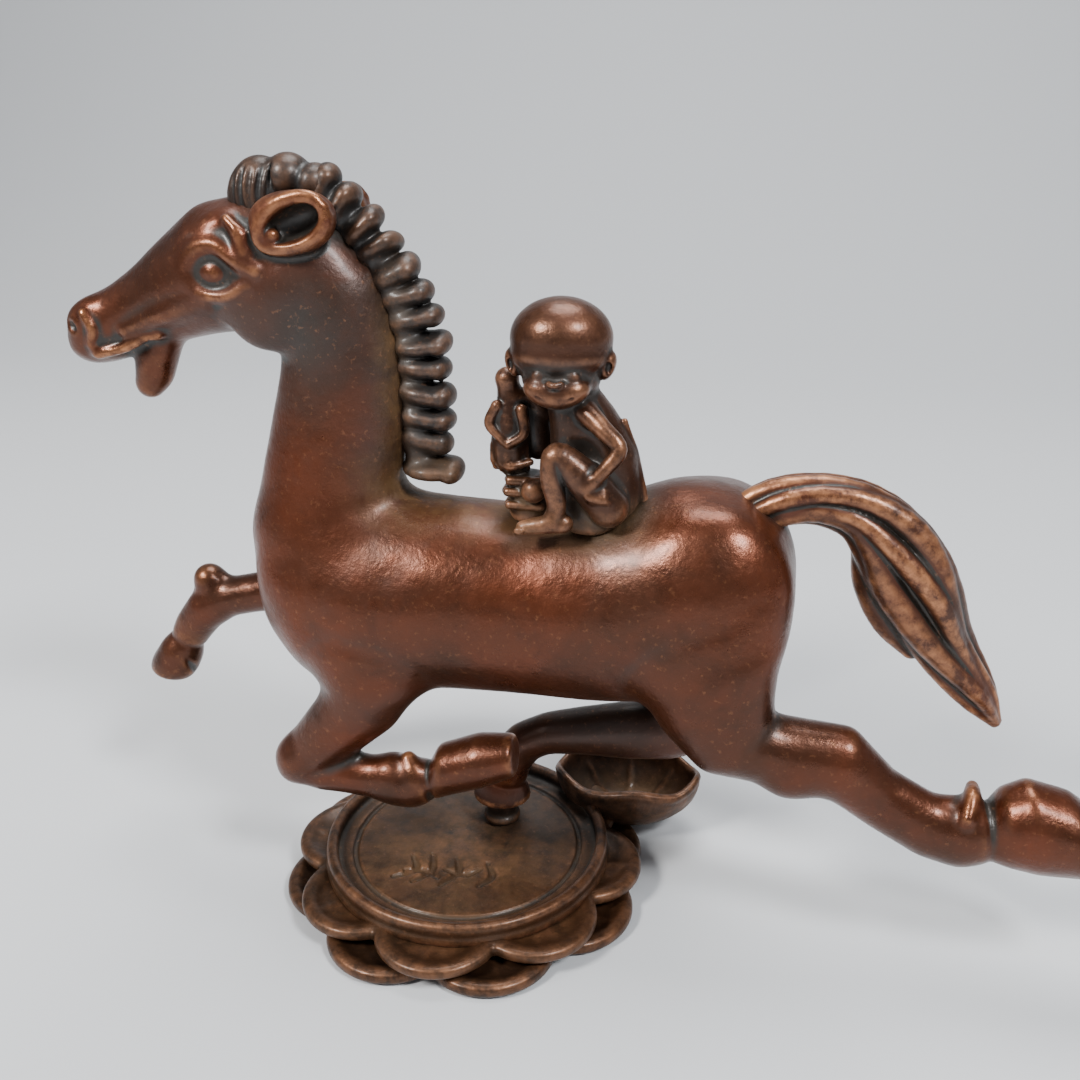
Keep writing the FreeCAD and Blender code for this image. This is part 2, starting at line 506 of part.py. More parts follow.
torso_seated = seat("torso", torso_loft, trunk_loft, rider_pin)
node("rider_torso", cut("torso_bored", torso_seated, nape_hole))
head_clear = cut("rider_head_clear", rider_head, torso_loft)
node("rider_head", fuse("rider_head_pinned", [head_clear, nape_pin]))
for name, blank, hosts in (("rider_left_leg", left_leg, [torso_loft, trunk_loft]),
                           ("rider_right_leg", right_leg, [torso_loft, trunk_loft]),
                           ("rider_left_arm", left_arm, [torso_loft, left_leg]),
                           ("rider_right_arm", right_arm, [torso_loft, right_leg])):
    for count, host in enumerate(hosts):
        blank = cut(f"{name}_clear_{count}", blank, host)
    node(name, blank)
plinth_clear = cut("plinth_off_leg", cut("plinth_off_trunk", plinth, trunk_loft), left_leg)
node("companion_plinth", fuse("plinth_pinned", [plinth_clear, plinth_pin]))
ball_egg = egg("ball_egg", "plinth_along + ball / 3", "plinth_aside - plinth_radius * 0.9",
               "plinth_top - ball / 2", "ball", "ball", "ball")
node("ball", cut("ball_off_leg", cut("ball_off_plinth", ball_egg, plinth), left_leg))
friend_blank = fuse("friend_blank", [friend_loft, friend_skull])
friend_clear = cut("friend_off_arm", friend_blank, right_arm)
node("companion", cut("friend_off_head", friend_clear, rider_head))

# ---------------------------------------------------------------- finish the horse
trunk_sockets = fuse("trunk_sockets", [neck_hole, tail_hole, rider_hole, plinth_hole]
                     + [hole for _, hole in leg_pegs.values()])
node("trunk", cut("trunk_solid", trunk_loft, trunk_sockets))
node("neck", cut("neck_bored", seat("neck", neck_loft, trunk_loft, neck_pin), head_hole))
node("head", fuse("head_pinned", [head_solid, head_pin]))
node("tail", seat("tail", tail_loft, trunk_loft, tail_pin))

# A leg is its upper casting, seated in the trunk, with the lower one brazed on at the joint.
LEGS = {
    "left_fore": (arm_loft, cannon_loft), "right_fore": (right_fore_loft, None),
    "left_hind": (left_hind_loft, None), "right_hind": (thigh_loft, shank_loft),
}
for name, (upper_loft, lower_loft) in LEGS.items():
    leg = seat(name, upper_loft, trunk_loft, leg_pegs[name][0])
    if lower_loft:
        leg = fuse(name + "_joined", [leg, lower_loft])
    node(name + "_leg", cut(name + "_bored", leg, hoof_pegs[name + "_hoof"][1]))
for name, loft in hoof_lofts.items():
    pinned = fuse(name + "_pinned", [loft, hoof_pegs[name][0]])
    if name == "right_hind_hoof":
        pinned = cut(name + "_bored", pinned, stud_hole)
    node(name, pinned)

doc.recompute()

faults = [thing.Name for thing in doc.Objects
          if "Invalid" in thing.State or "Error" in thing.State]
if faults:
    raise SystemExit("these objects failed: " + ", ".join(faults))
os.makedirs("parts", exist_ok=True)
for label, thing in PARTS.items():
    shape = thing.Shape
    if shape.isNull() or not shape.isValid() or not shape.Solids:
        raise SystemExit(f"{label} has no valid solid")
    print(f"{label:20s} solids {len(shape.Solids)}  volume {shape.Volume:9.1f} mm3")
for label, thing in PARTS.items():
    thing.Shape.exportStep(f"parts/{label}.step")
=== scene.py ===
# %% [markdown]
# # A bronze horse with a small rider, galloping over a lotus foot
#
# The real thing is a lost-wax bronze: a sculptor modelled it in wax, with a knife and small rolls of
# wax, and the metal kept every soft join and tool mark. Box-modelling such a body takes days, and
# sculpting by hand can't be repeated by a script. So this lesson works as the sculptor did, with
# blocks of clay: a block is a grid of small cubes that know how far they are from the surface.
# Adding a ball or a roll of clay, carving one away and smoothing a join are then one line each.

# %% Load the frame
import math

import bmesh
import bpy
import numpy as np
import openvdb as vdb
from mathutils import Euler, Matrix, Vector


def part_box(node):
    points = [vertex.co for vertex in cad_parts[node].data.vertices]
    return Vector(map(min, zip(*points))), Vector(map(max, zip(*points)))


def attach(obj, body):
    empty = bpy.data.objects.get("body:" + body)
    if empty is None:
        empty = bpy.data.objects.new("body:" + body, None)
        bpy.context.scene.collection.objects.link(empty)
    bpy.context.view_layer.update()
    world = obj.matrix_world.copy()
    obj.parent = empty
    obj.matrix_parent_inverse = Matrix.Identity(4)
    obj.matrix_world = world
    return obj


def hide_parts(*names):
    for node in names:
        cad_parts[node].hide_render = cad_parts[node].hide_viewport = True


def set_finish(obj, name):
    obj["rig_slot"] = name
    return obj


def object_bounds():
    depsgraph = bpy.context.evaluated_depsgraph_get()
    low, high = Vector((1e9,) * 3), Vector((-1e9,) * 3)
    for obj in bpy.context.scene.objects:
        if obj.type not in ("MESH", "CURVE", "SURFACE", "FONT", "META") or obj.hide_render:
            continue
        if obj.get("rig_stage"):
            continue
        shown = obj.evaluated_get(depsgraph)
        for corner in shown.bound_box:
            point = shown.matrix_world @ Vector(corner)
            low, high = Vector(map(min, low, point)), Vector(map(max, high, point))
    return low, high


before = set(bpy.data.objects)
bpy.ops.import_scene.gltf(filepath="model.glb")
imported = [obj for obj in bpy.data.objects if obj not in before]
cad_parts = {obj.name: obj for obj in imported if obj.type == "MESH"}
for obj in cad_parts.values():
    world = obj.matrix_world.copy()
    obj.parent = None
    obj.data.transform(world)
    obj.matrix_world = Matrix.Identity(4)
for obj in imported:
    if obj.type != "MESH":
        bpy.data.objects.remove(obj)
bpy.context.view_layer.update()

# %% [markdown]
# ## Measuring from the castings
#
# Every place in this file is told from the middle of the casting that it belongs to, in millimetres,
# so that a mark on the head stays on the head. Millimetres suit a figure that a hand can hold; they
# are turned into Blender's metres only when a mesh is made.

# %% Places on the castings
MM = 0.001


def middle(name):
    """The middle of a casting's box, in mm."""
    low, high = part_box(name)
    return (np.array(low) + np.array(high)) / 2 / MM


def at(name, x, y, z):
    """A place that many mm from the middle of a casting."""
    return middle(name) + (x, y, z)


print("middle of the head:", middle("head").round(1))

# %% [markdown]
# ## The clay
#
# The grid holds the distance to the surface, less than nothing inside it. The nearer of two distances
# joins two shapes, and rounding that choice off fills the join with a small fillet, as a thumb would.
# The same sum turned over carves. A ball is given three radii, and a roll is a bent, tapering rod.

# %% Blur and soft joins
AIR = 4.2


def blur(field, width):
    """Three running means along each axis: close to a Gaussian that wide, counted in cubes."""
    half = max(1, round((math.sqrt(4 * width * width + 1) - 1) / 2))
    count = 2 * half + 1
    for axis in range(3):
        field = np.moveaxis(field, axis, 0)
        for _ in range(3):
            ends = [(half + 1, half), (0, 0), (0, 0)]
            total = np.cumsum(np.pad(field, ends, mode="edge"), axis=0, dtype=np.float32)
            field = (total[count:] - total[:-count]) / count
        field = np.moveaxis(field, 0, axis)
    return field


def soft_least(one, two, blend):
    """The lesser of two distances, with a fillet about as large as blend where they meet."""
    near = np.maximum(blend - np.abs(one - two), 0.0) / blend
    return np.minimum(one, two) - near * near * blend / 4


def bend(points, radii, steps=5):
    """A smooth run through a few points, and a radius for each place on it."""
    knots = np.column_stack([np.array(points, float), np.broadcast_to(radii, len(points))])
    knots = np.vstack([2 * knots[0] - knots[1], knots, 2 * knots[-1] - knots[-2]])
    places = []
    for before, start, end, after in zip(knots, knots[1:], knots[2:], knots[3:]):
        for share in np.arange(steps) / steps:
            places.append(0.5 * (2 * start + (end - before) * share
                                 + (2 * before - 5 * start + 4 * end - after) * share ** 2
                                 + (3 * start - before - 3 * end + after) * share ** 3))
    places.append(knots[-2])
    places = np.array(places)
    return places[:, :3], places[:, 3]


# %% A block of clay
class Clay:
    """Distances to a surface, in mm, on a grid of cubes."""

    def __init__(self, low, high, step):
        self.step = step
        self.start = np.floor(np.array(low) / step).astype(int)
        self.count = np.ceil(np.array(high) / step).astype(int) - self.start + 1
        self.field = np.full(self.count, AIR, np.float32)
        self.castings = {}

    def part(self, low, high):
        """The slices of the grid between two corners."""
        first = np.clip(np.floor(low / self.step).astype(int) - self.start, 0, self.count)
        last = np.clip(np.ceil(high / self.step).astype(int) - self.start + 1, 0, self.count)
        return tuple(slice(a, b) for a, b in zip(first, last))

    def places(self, part):
        """x, y and z of the grid's points in those slices, ready to broadcast."""
        x, y, z = [(np.arange(s.start, s.stop, dtype=np.float32) + first) * self.step
                   for s, first in zip(part, self.start)]
        return x[:, None, None], y[None, :, None], z[None, None, :]

    def work(self, part, shape, blend, carve=False):
        """Join a shape to the clay, or carve it away."""
        here = self.field[part]
        if carve:
            self.field[part] = -soft_least(-here, shape, blend)
        else:
            self.field[part] = soft_least(here, shape, blend)

    def ball(self, spot, radii, turn=(0, 0, 0), blend=0.5, carve=False):
        """A ball with three radii, turned by three angles in degrees."""
        radii = np.broadcast_to(np.array(radii, float), 3)
        reach = radii.max() + blend + 2 * self.step
        part = self.part(spot - reach, spot + reach)
        gaps = [place - centre for place, centre in zip(self.places(part), spot)]
        spin = np.array(Euler([math.radians(a) for a in turn]).to_matrix())
        own = [sum(spin[row, axis] * gaps[row] for row in range(3)) for axis in range(3)]
        near = np.sqrt(sum((gap / r) ** 2 for gap, r in zip(own, radii)))
        steep = np.sqrt(sum((gap / r ** 2) ** 2 for gap, r in zip(own, radii)))
        self.work(part, near * (near - 1) / (steep + 1e-6), blend, carve)

    def roll(self, points, radii, blend=0.4, carve=False, steps=5):
        """A bent, tapering rod through a few points."""
        spots, thick = bend(points, radii, steps)
        reach = thick.max() + blend + 2 * self.step
        part = self.part(spots.min(0) - reach, spots.max(0) + reach)
        x, y, z = self.places(part)
        nearest = None
        for one, two, thin, wide in zip(spots, spots[1:], thick, thick[1:]):
            along = two - one
            share = (x - one[0]) * along[0] + (y - one[1]) * along[1] + (z - one[2]) * along[2]
            share = np.clip(share / (along @ along + 1e-9), 0, 1)
            gap = np.sqrt((x - one[0] - share * along[0]) ** 2 + (y - one[1] - share * along[1]) ** 2
                          + (z - one[2] - share * along[2]) ** 2) - thin - share * (wide - thin)
            nearest = gap if nearest is None else np.minimum(nearest, gap)
        self.work(part, nearest, blend, carve)


# %% [markdown]
# ## From casting to clay
#
# The frame's castings give each part its true place and size, but their sides are straight between
# a few rings. OpenVDB, which Blender carries for its remesh tools, measures the distance to such a
# mesh. A blur then melts the rings away, and a little growth gives back what the blur took.

# %% Lay a casting into the clay
def lay(clay, name, melt=0.6, grow=0.1, join=1.0, shape=True):
    """Measure a casting, melt its edges and join it; with shape off it only claims its place."""
    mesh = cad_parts[name].data
    points = np.empty(len(mesh.vertices) * 3, np.float32)
    mesh.vertices.foreach_get("co", points)
    points = points.reshape(-1, 3) / MM
    mesh.calc_loop_triangles()
    triangles = np.empty(len(mesh.loop_triangles) * 3, np.int32)
    mesh.loop_triangles.foreach_get("vertices", triangles)
    band = math.ceil(AIR / clay.step)
    near = clay.start * clay.step
    level = vdb.FloatGrid.createLevelSetFromPolygons(
        (points - near).astype(np.float32), triangles=triangles.reshape(-1, 3).astype(np.uint32),
        transform=vdb.createLinearTransform(voxelSize=clay.step), halfWidth=band)
    part = clay.part(points.min(0) - AIR, points.max(0) + AIR)
    away = np.empty([s.stop - s.start for s in part], np.float32)
    level.copyToArray(away, ijk=tuple(s.start for s in part))
    away = np.clip(away, -AIR, AIR)
    if melt:
        away = blur(away, melt / clay.step)
    away -= grow
    clay.castings[name] = (part, away)
    if shape:
        clay.work(part, away, join)


# %% [markdown]
# ## Parting lines
#
# The horse is one flow of bronze, but its castings stay separate pieces. Each piece keeps the clay
# that lies nearest to its own casting, and reaches a little under its neighbour, so no gap shows.

# %% One casting's share of the clay
LAP = 0.45
SINK = 0.05


def shared(one, two):
    """The same stretch of the grid, in the slices of one window and of another."""
    ends = [(max(a.start, b.start), min(a.stop, b.stop)) for a, b in zip(one, two)]
    if any(stop <= start for start, stop in ends):
        return None
    return [tuple(slice(start - own.start, stop - own.start) for (start, stop), own in zip(ends, window))
            for window in (one, two)]


def share_of(clay, name):
    """The slices and distances of one casting's piece of the clay."""
    part, mine = clay.castings[name]
    others = np.full(mine.shape, AIR, np.float32)
    for other, (spot, theirs) in clay.castings.items():
        both = None if other == name else shared(part, spot)
        if both:
            others[both[0]] = np.minimum(others[both[0]], theirs[both[1]])
    own = (mine - others) / 2
    sink = SINK * np.clip(own / LAP, 0, 1)
    return part, np.maximum(clay.field[part] + sink, own - LAP)


# %% [markdown]
# ## Skin
#
# OpenVDB turns distances into a mesh of even quads. Crumbs that a carving left loose are dropped.
# Four numbers go on each point for the finish to read later: how hard the surface bends (edges wear
# bright, creases get painted shade with their dark patina), how hemmed in it is (hollows get painted
# shade with their dark patina), how much ochre earth the maker left there, and how much painted shade,
# with dark patina, lies on spots that lie in shade.

# %% Read a field at points
def sample(field, corner, step, points):
    """The field's value at each point, in mm; corner is where the field's first cube lies."""
    spots = (points - corner) / step
    base = np.clip(np.floor(spots).astype(int), 0, np.array(field.shape) - 2)
    share = np.clip(spots - base, 0, 1)
    total = np.zeros(len(points))
    for turn in np.ndindex(2, 2, 2):
        weight = np.prod(np.where(turn, share, 1 - share), axis=1)
        i, j, k = (base + turn).T
        total += weight * field[i, j, k]
    return total


def main_lumps(points, quads):
    """Which quads belong to a lump with at least a twentieth of the points."""
    label = np.arange(len(points))
    edges = np.vstack([quads[:, [0, 1]], quads[:, [1, 2]], quads[:, [2, 3]]])
    while True:
        least = label.copy()
        low = np.minimum(label[edges[:, 0]], label[edges[:, 1]])
        np.minimum.at(least, edges[:, 0], low)
        np.minimum.at(least, edges[:, 1], low)
        least = least[least]
        if (least == label).all():
            break
        label = least
    size = np.bincount(label, minlength=len(points))
    return size[label[quads[:, 0]]] >= len(points) / 20


# %% Make a piece
# The first list holds ochre earth; the second holds painted shade, with dark patina, for spots that lie
# in shade.
EARTH, SHADE_AND_PATINA = [], []
pieces = {}


def spread_over(spots, marks):
    """How strongly a list of soft blobs (middle, radii, strength) reaches each point."""
    most = np.zeros(len(spots))
    for centre, radii, strength in marks:
        away = np.sqrt((((spots - centre) / radii) ** 2).sum(1))
        most = np.maximum(most, strength * np.clip(1.5 - away, 0, 1))
    return most


def skin(clay, name, part, field, slot, uncut=None):
    """A closed mesh of one casting's clay, in its place in the frame."""
    field = np.pad(field, 1, constant_values=AIR)
    corner = (np.array([s.start for s in part]) - 1 + clay.start) * clay.step
    grid = vdb.FloatGrid(AIR)
    grid.copyFromArray(field)
    points, quads = grid.convertToQuads()
    quads = quads.astype(np.int64)
    quads = quads[main_lumps(points, quads)]
    used, quads = np.unique(quads, return_inverse=True)
    quads = quads.reshape(-1, 4)
    spots = points[used] * clay.step + corner
    a, b, c, d = (spots[quads[:, turn]] for turn in range(4))
    if (np.cross(c - a, d - b) * (a + c)).sum() < 0:
        quads = quads[:, ::-1]
    mesh = bpy.data.meshes.new(name)
    mesh.from_pydata((spots * MM).tolist(), [], quads.tolist())
    mesh.shade_smooth()
    piece = bpy.data.objects.new(name, mesh)
    bpy.context.scene.collection.objects.link(piece)
    uncut = field if uncut is None else np.pad(uncut, 1, constant_values=AIR)
    edge = sample(blur(uncut, 0.45 / clay.step) - uncut, corner, clay.step, spots) / 0.05
    # How hemmed in a point is darkens it as painted shade of hollows, together with their dark patina.
    hemmed_shade_and_patina = sample(whole.field, whole.start * whole.step, whole.step, spots)
    for label, value in (("edge", edge), ("hemmed_shade_and_patina", hemmed_shade_and_patina), ("earth", spread_over(spots, EARTH)),
                         ("shade_and_patina", spread_over(spots, SHADE_AND_PATINA))):
        mesh.attributes.new(label, "FLOAT", "POINT").data.foreach_set("value", value.astype(np.float32))
    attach(piece, "root")
    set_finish(piece, slot)
    pieces[name] = piece
    return piece


def cast_piece(clay, name, slot):
    """One casting's clay as a piece that stands for it."""
    part, field = share_of(clay, name)
    piece = skin(clay, name + "_bronze", part, field, slot, clay.field[part])
    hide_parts(name)
    print(piece.name, len(piece.data.polygons), "quads")

# %% [markdown]
# ## The horse's body
#
# Trunk and neck are melted most, because the real ones are smooth as river stone. The legs keep more
# of their bones. A wide fillet makes the neck grow out of the shoulders instead of standing on them.

# %% Lay the horse
horse = Clay((-50, -15, 9), (84, 15, 98), 0.27)
lay(horse, "trunk", melt=1.5, grow=0.25)
lay(horse, "neck", melt=1.1, grow=0.3, join=4.2)
lay(horse, "head", melt=0.8, grow=0.2, join=1.6)
LEGS = ("left_fore", "right_fore", "left_hind", "right_hind")
for leg in LEGS:
    lay(horse, leg + "_leg", melt=0.7, grow=0.25, join=3.2)
    lay(horse, leg + "_hoof", melt=0.4, grow=0.1, join=0.6)
for ear in ("left_ear", "right_ear"):
    lay(horse, ear, melt=0.3, grow=0.05, join=1.2)
for lock in ("mane", "forelock", "tail"):
    lay(horse, lock, shape=False)
print("horse clay:", horse.field.shape, "cubes of", horse.step, "mm")

# %% [markdown]
# ## Flesh
#
# A few soft balls under the skin say chest, shoulder, haunch and knee. Their fillets are as wide as
# they are, so that they swell the surface and leave no outline.

# %% Chest, shoulders, haunches, knees
for side in (-1, 1):
    horse.ball(at("trunk", 23.6, side * 6.0, 3.3), (8.5, 4.6, 10), blend=2.9)
horse.ball(at("left_fore_leg", -8.3, -0.4, -6.0), (2.5, 2.4, 2.9), blend=2)
horse.ball(at("right_fore_leg", -8.6, 0, 3.5), (2.1, 2.1, 2.0), blend=2)
horse.ball(at("left_hind_leg", -3.1, -0.4, -4.4), (3.2, 2.6, 2.8), blend=2)

# %% [markdown]
# ## Fetlocks and hooves
#
# Above each hoof stands a small spur of horn, and a knife line parts the hoof from the leg. The hind
# hoof that kicks out has a step where it was joined on, with the crevice left dark.

# %% Spurs, crevices and soles
horse.roll([at("left_fore_leg", 6.7, -0.2, -4.4), at("left_fore_leg", 7.7, -1.0, -6.4),
            at("left_fore_leg", 7.5, -0.2, -9.8)], (0.9, 1.3, 0.8), blend=1.2)
horse.roll([at("left_fore_hoof", -5.5, -4.4, 2.7), at("left_fore_hoof", -4.5, -3.6, -1.8),
            at("left_fore_hoof", -4.3, -1.0, -5.2)], 0.42, blend=0.4, carve=True)
horse.roll([at("left_hind_leg", 17.8, 2.0, -5.4), at("left_hind_leg", 17.4, -0.2, -5.4),
            at("left_hind_leg", 16.8, -2.4, -6.9)], (0.7, 0.75, 0.3), blend=1.6)
horse.roll([at("left_hind_hoof", -7.7, 3.0, 5.3), at("left_hind_hoof", -8.4, -3.4, 2.9),
            at("left_hind_hoof", -9.5, -4.4, -1.7)], (0.5, 0.5, 0.2), blend=0.6, carve=True)
horse.roll([at("right_fore_hoof", 2.2, -3.4, 3.8), at("right_fore_hoof", 3.0, -2.8, 0.0),
            at("right_fore_hoof", 2.8, 0.0, -3.4)], 0.4, blend=0.4, carve=True)
horse.roll([at("right_hind_hoof", -4.4, -3.4, 3.2), at("right_hind_hoof", 0, -4.4, 3.6),
            at("right_hind_hoof", 4.4, -2.6, 2.8)], 0.4, blend=0.4, carve=True)
horse.ball(at("right_hind_leg", -11.2, -1.4, -9.9), (1.7, 1.7, 1.5), blend=1.0)

# %% [markdown]
# ## The face
#
# The face is the liveliest spot and gets the smallest tools: an eyeball set in a thumbed socket,
# two rolls of wax for the lids, a brow, a cheek, a flared nostril and the parted lips.

# %% Eyes, brows, cheeks, nostrils, lips
for side in (-1, 1):
    horse.ball(at("head", 10.0, side * 3.7, 0.1), (4.6, 2.6, 4.9), blend=2)
    horse.roll([at("head", 3.1, side * 5.0, 0.9), at("head", -2.9, side * 4.3, -1.2),
                at("head", -7.9, side * 3.4, -3.3)], (0.8, 0.8, 0.4), blend=1.4)
    horse.ball(at("head", 5.0, side * 7.2, 4.2), (2.9, 1.7, 2.3), (0, -20, 0), blend=1.5, carve=True)
    horse.ball(at("head", 4.8, side * 4.5, 4.0), (1.8, 1.7, 1.5), blend=0.6)
    horse.roll([at("head", 1.7, side * 4.9, 5.3), at("head", 3.4, side * 5.5, 6.8),
                at("head", 5.6, side * 5.8, 7.0), at("head", 7.8, side * 6.2, 5.5),
                at("head", 10.0, side * 6.2, 4.5)], (0.35, 0.55, 0.5, 0.4, 0.3), blend=1.4)
    horse.roll([at("head", 2.0, side * 5.1, 2.8), at("head", 4.0, side * 5.8, 1.6),
                at("head", 6.6, side * 6.1, 1.6), at("head", 9.2, side * 6.1, 2.9)],
               (0.25, 0.3, 0.3, 0.2), blend=1.2)
    horse.roll([at("head", 7.0, side * 5.4, 9.9), at("head", 8.4, side * 6.0, 8.5),
                at("head", 9.0, side * 6.0, 6.7)], (0.4, 0.55, 0.4), blend=1.6)
    horse.ball(at("head", 4.8, side * 3.4, 8.8), (2.2, 1.6, 1.2), (0, -25, 0), blend=1.4)
    horse.ball(at("head", -13.2, side * 1.9, -1.8), (2.3, 1.6, 1.8), (0, -30, 0), blend=1.2)
    horse.roll([at("head", -14.0, side * 1.9, -2.7), at("head", -14.6, side * 1.7, -5.2)],
               (1.7, 1.2), blend=1.0)
    horse.ball(at("head", -14.8, side * 3.7, -2.8), (0.8, 0.6, 0.5), (0, 40, 0), blend=0.5, carve=True)
    horse.roll([at("head", -13.0, side * 3.7, -1.2), at("head", -12.0, side * 3.9, -3.1),
                at("head", -12.6, side * 3.5, -4.9)], (0.3, 0.5, 0.3), blend=0.7)
    horse.roll([at("head", -12.0, side * 3.2, -6.2), at("head", -8.9, side * 3.4, -5.5),
                at("head", -5.8, side * 3.5, -4.2), at("head", -4.0, side * 3.5, -3.7)],
               (0.5, 0.5, 0.5, 0.4), blend=1.3)
horse.ball(at("head", -11.2, 0.0, -6.1), (2.6, 2.4, 1.3), (0, -15, 0), blend=0.8)
horse.roll([at("head", -6.0, 0.0, -7.5), at("head", -6.6, 0.0, -9.1), at("head", -7.6, 0.0, -10.3)],
           (1.6, 1.8, 1.7), blend=0.8)
horse.roll([at("head", -9.9, -2.8, -6.9), at("head", -7.0, -2.8, -5.6), at("head", -5.0, -3.2, -4.5)],
           0.4, blend=0.4, carve=True)

# %% [markdown]
# ## The ears
#
# Each ear was a small cup pinched from wax and laid back along the poll: a thick rolled rim round a
# deep hollow, with a crumb of wax left inside at the front.

# %% Ear cups
for side, ear in ((-1, "left_ear"), (1, "right_ear")):
    rim = []
    tilt = math.radians(26)
    for turn in np.linspace(0, 2 * math.pi, 13):
        long = 4.3 * math.cos(turn)
        high = (2.5 + 0.35 * math.cos(turn)) * math.sin(turn)
        rim.append(at(ear, 0.2, 0.0, -0.3)
                   + (long * math.cos(tilt) - high * math.sin(tilt), side * (1.1 + 0.12 * high),
                      long * math.sin(tilt) + high * math.cos(tilt)))
    horse.ball(at(ear, 0.2, 0.0, -0.4) - (0, side * 0.8, 0), (4.6, 1.9, 2.9), (0, -26, 0), blend=1.2)
    horse.ball(at(ear, 0.5, 0.0, -0.1) + (0, side * 1.7, 0), (3.5, 2.7, 1.9), (0, -26, 0),
               blend=0.5, carve=True)
    horse.roll(rim, [0.52 + 0.14 * math.cos(turn - 0.6) for turn in np.linspace(0, 2 * math.pi, 13)],
               blend=0.8)
    horse.ball(at(ear, -2.2, 0.0, -1.5) + (0, side * 0.6, 0), 0.85, blend=0.3)

# %% [markdown]
# ## Mane and forelock
#
# The mane is a comb of flat lobes of wax pressed on edge along the crest, each one standing out like
# a small shelf with a dark gap beside it. They are made in their own clay, so that the line where
# they meet the neck stays crisp. The forelock is a fan of the same lobes over the brow.

# %% Lobes along the crest
mane = Clay((-27, -6, 52), (3, 6, 98), 0.22)
LOBES = [(at("mane", root_x, 0.0, root_z), at("mane", tip_x, 0.0, tip_z))
         for root_x, root_z, tip_x, tip_z in (
    (-8.3, 14.1, -6.3, 17.9), (-6.2, 12.7, -3.9, 15.9), (-4.4, 10.7, -1.3, 13.5),
    (-3.0, 8.5, 0.6, 10.7), (-1.8, 6.3, 2.7, 8.1), (-0.8, 3.9, 4.3, 5.3),
    (-0.1, 1.5, 5.5, 2.6), (0.3, -1.0, 6.4, -0.6), (0.5, -3.5, 6.2, -3.6),
    (0.6, -6.4, 6.7, -6.8), (0.7, -9.2, 6.5, -9.8), (0.7, -12.0, 6.1, -12.7),
    (0.9, -15.3, 7.5, -16.1))]
chance = np.random.RandomState(7)
for count, (root, tip) in enumerate(LOBES):
    out = (tip - root) / np.linalg.norm(tip - root)
    pitch = -math.degrees(math.atan2(out[2], out[0]))
    long = np.linalg.norm(tip - root) / 2
    wide, lean, droop = chance.uniform((2.5, -13, -8), (3.2, 13, 8))
    centre = (root + tip) / 2 + (0, chance.uniform(-0.25, 0.25), 0)
    thick = chance.uniform(1.2, 1.5)
    mane.ball(centre, (long + 0.4, wide, thick), (lean, pitch + droop, 0), blend=0.3)
    mane.ball(centre + out * long * 0.7, (1.5, wide * 0.9, thick * 1.05),
              (lean, pitch + droop, 0), blend=0.4)
crest = [root * 0.72 + tip * 0.28 for root, tip in LOBES]
mane.roll(crest, np.linspace(1.9, 1.7, len(LOBES)), blend=0.9)
print(len(LOBES), "lobes in the mane")

# %% The forelock
forelock = Clay((-32, -8, 80), (-8, 8, 100), 0.22)
for along, up, radii in ((-2.1, -0.2, (3.6, 3.4, 4.3)), (1.5, 1.8, (2.7, 3.0, 2.6)),
                         (4.5, 1.1, (2.1, 2.7, 2.2))):
    forelock.ball(at("forelock", along, 0.0, up), radii, (0, 12, 0), blend=0.5)
for side in (-1, 1):
    for count in range(5):
        along = -4.3 + 1.1 * count
        bulge = 0.35 * abs(count - 2)
        forelock.roll([at("forelock", along + 0.5, side * (3.3 - bulge), -2.8),
                       at("forelock", along, side * (3.6 - bulge), -0.2),
                       at("forelock", along + 0.3, side * (2.6 - bulge), 3.0)],
                      (0.35, 0.4, 0.2), blend=0.35, carve=True)
print("forelock: three lobes, ten knife lines")

# %% [markdown]
# ## The tail
#
# The tail leaves the rump through a collar, arches and fans out. Its look comes from long wavy
# strands that wind round one core. Each strand is one roll whose places are worked out from the
# tail's own line: so far out from the core, at an angle that turns slowly along the way.

# %% Strands round a core
tail = Clay((28, -8, 26), (72, 8, 64), 0.22)
LINE = [at("tail", x, 0.0, z) for x, z in (
    (-17.2, 7.5), (-15.1, 9.5), (-11.2, 11.8), (-6.1, 12.6), (-1.4, 11.3), (1.9, 8.1),
    (4.2, 4.3), (6.6, 0.2), (8.6, -3.4), (11.2, -7.1), (14.2, -10.8), (16.8, -14.4))]
DEEP = (1.5, 1.9, 2.1, 2.2, 2.7, 3.9, 4.6, 4.0, 3.2, 2.6, 1.8, 0.5)
BROAD = (1.5, 1.9, 2.1, 2.3, 2.6, 2.9, 3.0, 2.8, 2.5, 2.1, 1.5, 0.4)
line, deep = bend(LINE, DEEP, 3)
broad = bend(LINE, BROAD, 3)[1]
ahead = np.gradient(line, axis=0)
ahead /= np.linalg.norm(ahead, axis=1)[:, None]
outward = np.column_stack([-ahead[:, 2], np.zeros(len(line)), ahead[:, 0]])
STRANDS = 9
share = np.linspace(0, 1, len(line))
for count in range(STRANDS):
    wave = 0.16 * np.sin(9 * share + 2.4 * count)
    turn = 2 * math.pi * count / STRANDS + 1.3 * share + wave
    fan = 0.86 + 0.14 * np.sin(7 * share + 1.7 * count)
    spots = line + outward * (deep * fan * np.cos(turn))[:, None]
    spots[:, 1] += broad * fan * np.sin(turn)
    thick = (0.36 + 0.07 * (count % 3)) * np.sqrt(deep * broad) + 0.12
    tail.roll(spots, thick, blend=0.2, steps=1)
tail.roll(line, np.minimum(deep, broad) * 0.9, blend=0.3, steps=1)
tail.roll([at("tail", -2.4, 0.6, 10.1), at("tail", -0.4, 0.6, 6.9), at("tail", 0.6, 0.6, 2.5),
           at("tail", 2.9, 0.6, -2.1), at("tail", 6.0, 0.6, -5.7)], (1.2, 1.9, 2.2, 1.9, 1.2), blend=0.3)
print(STRANDS, "strands in the tail")

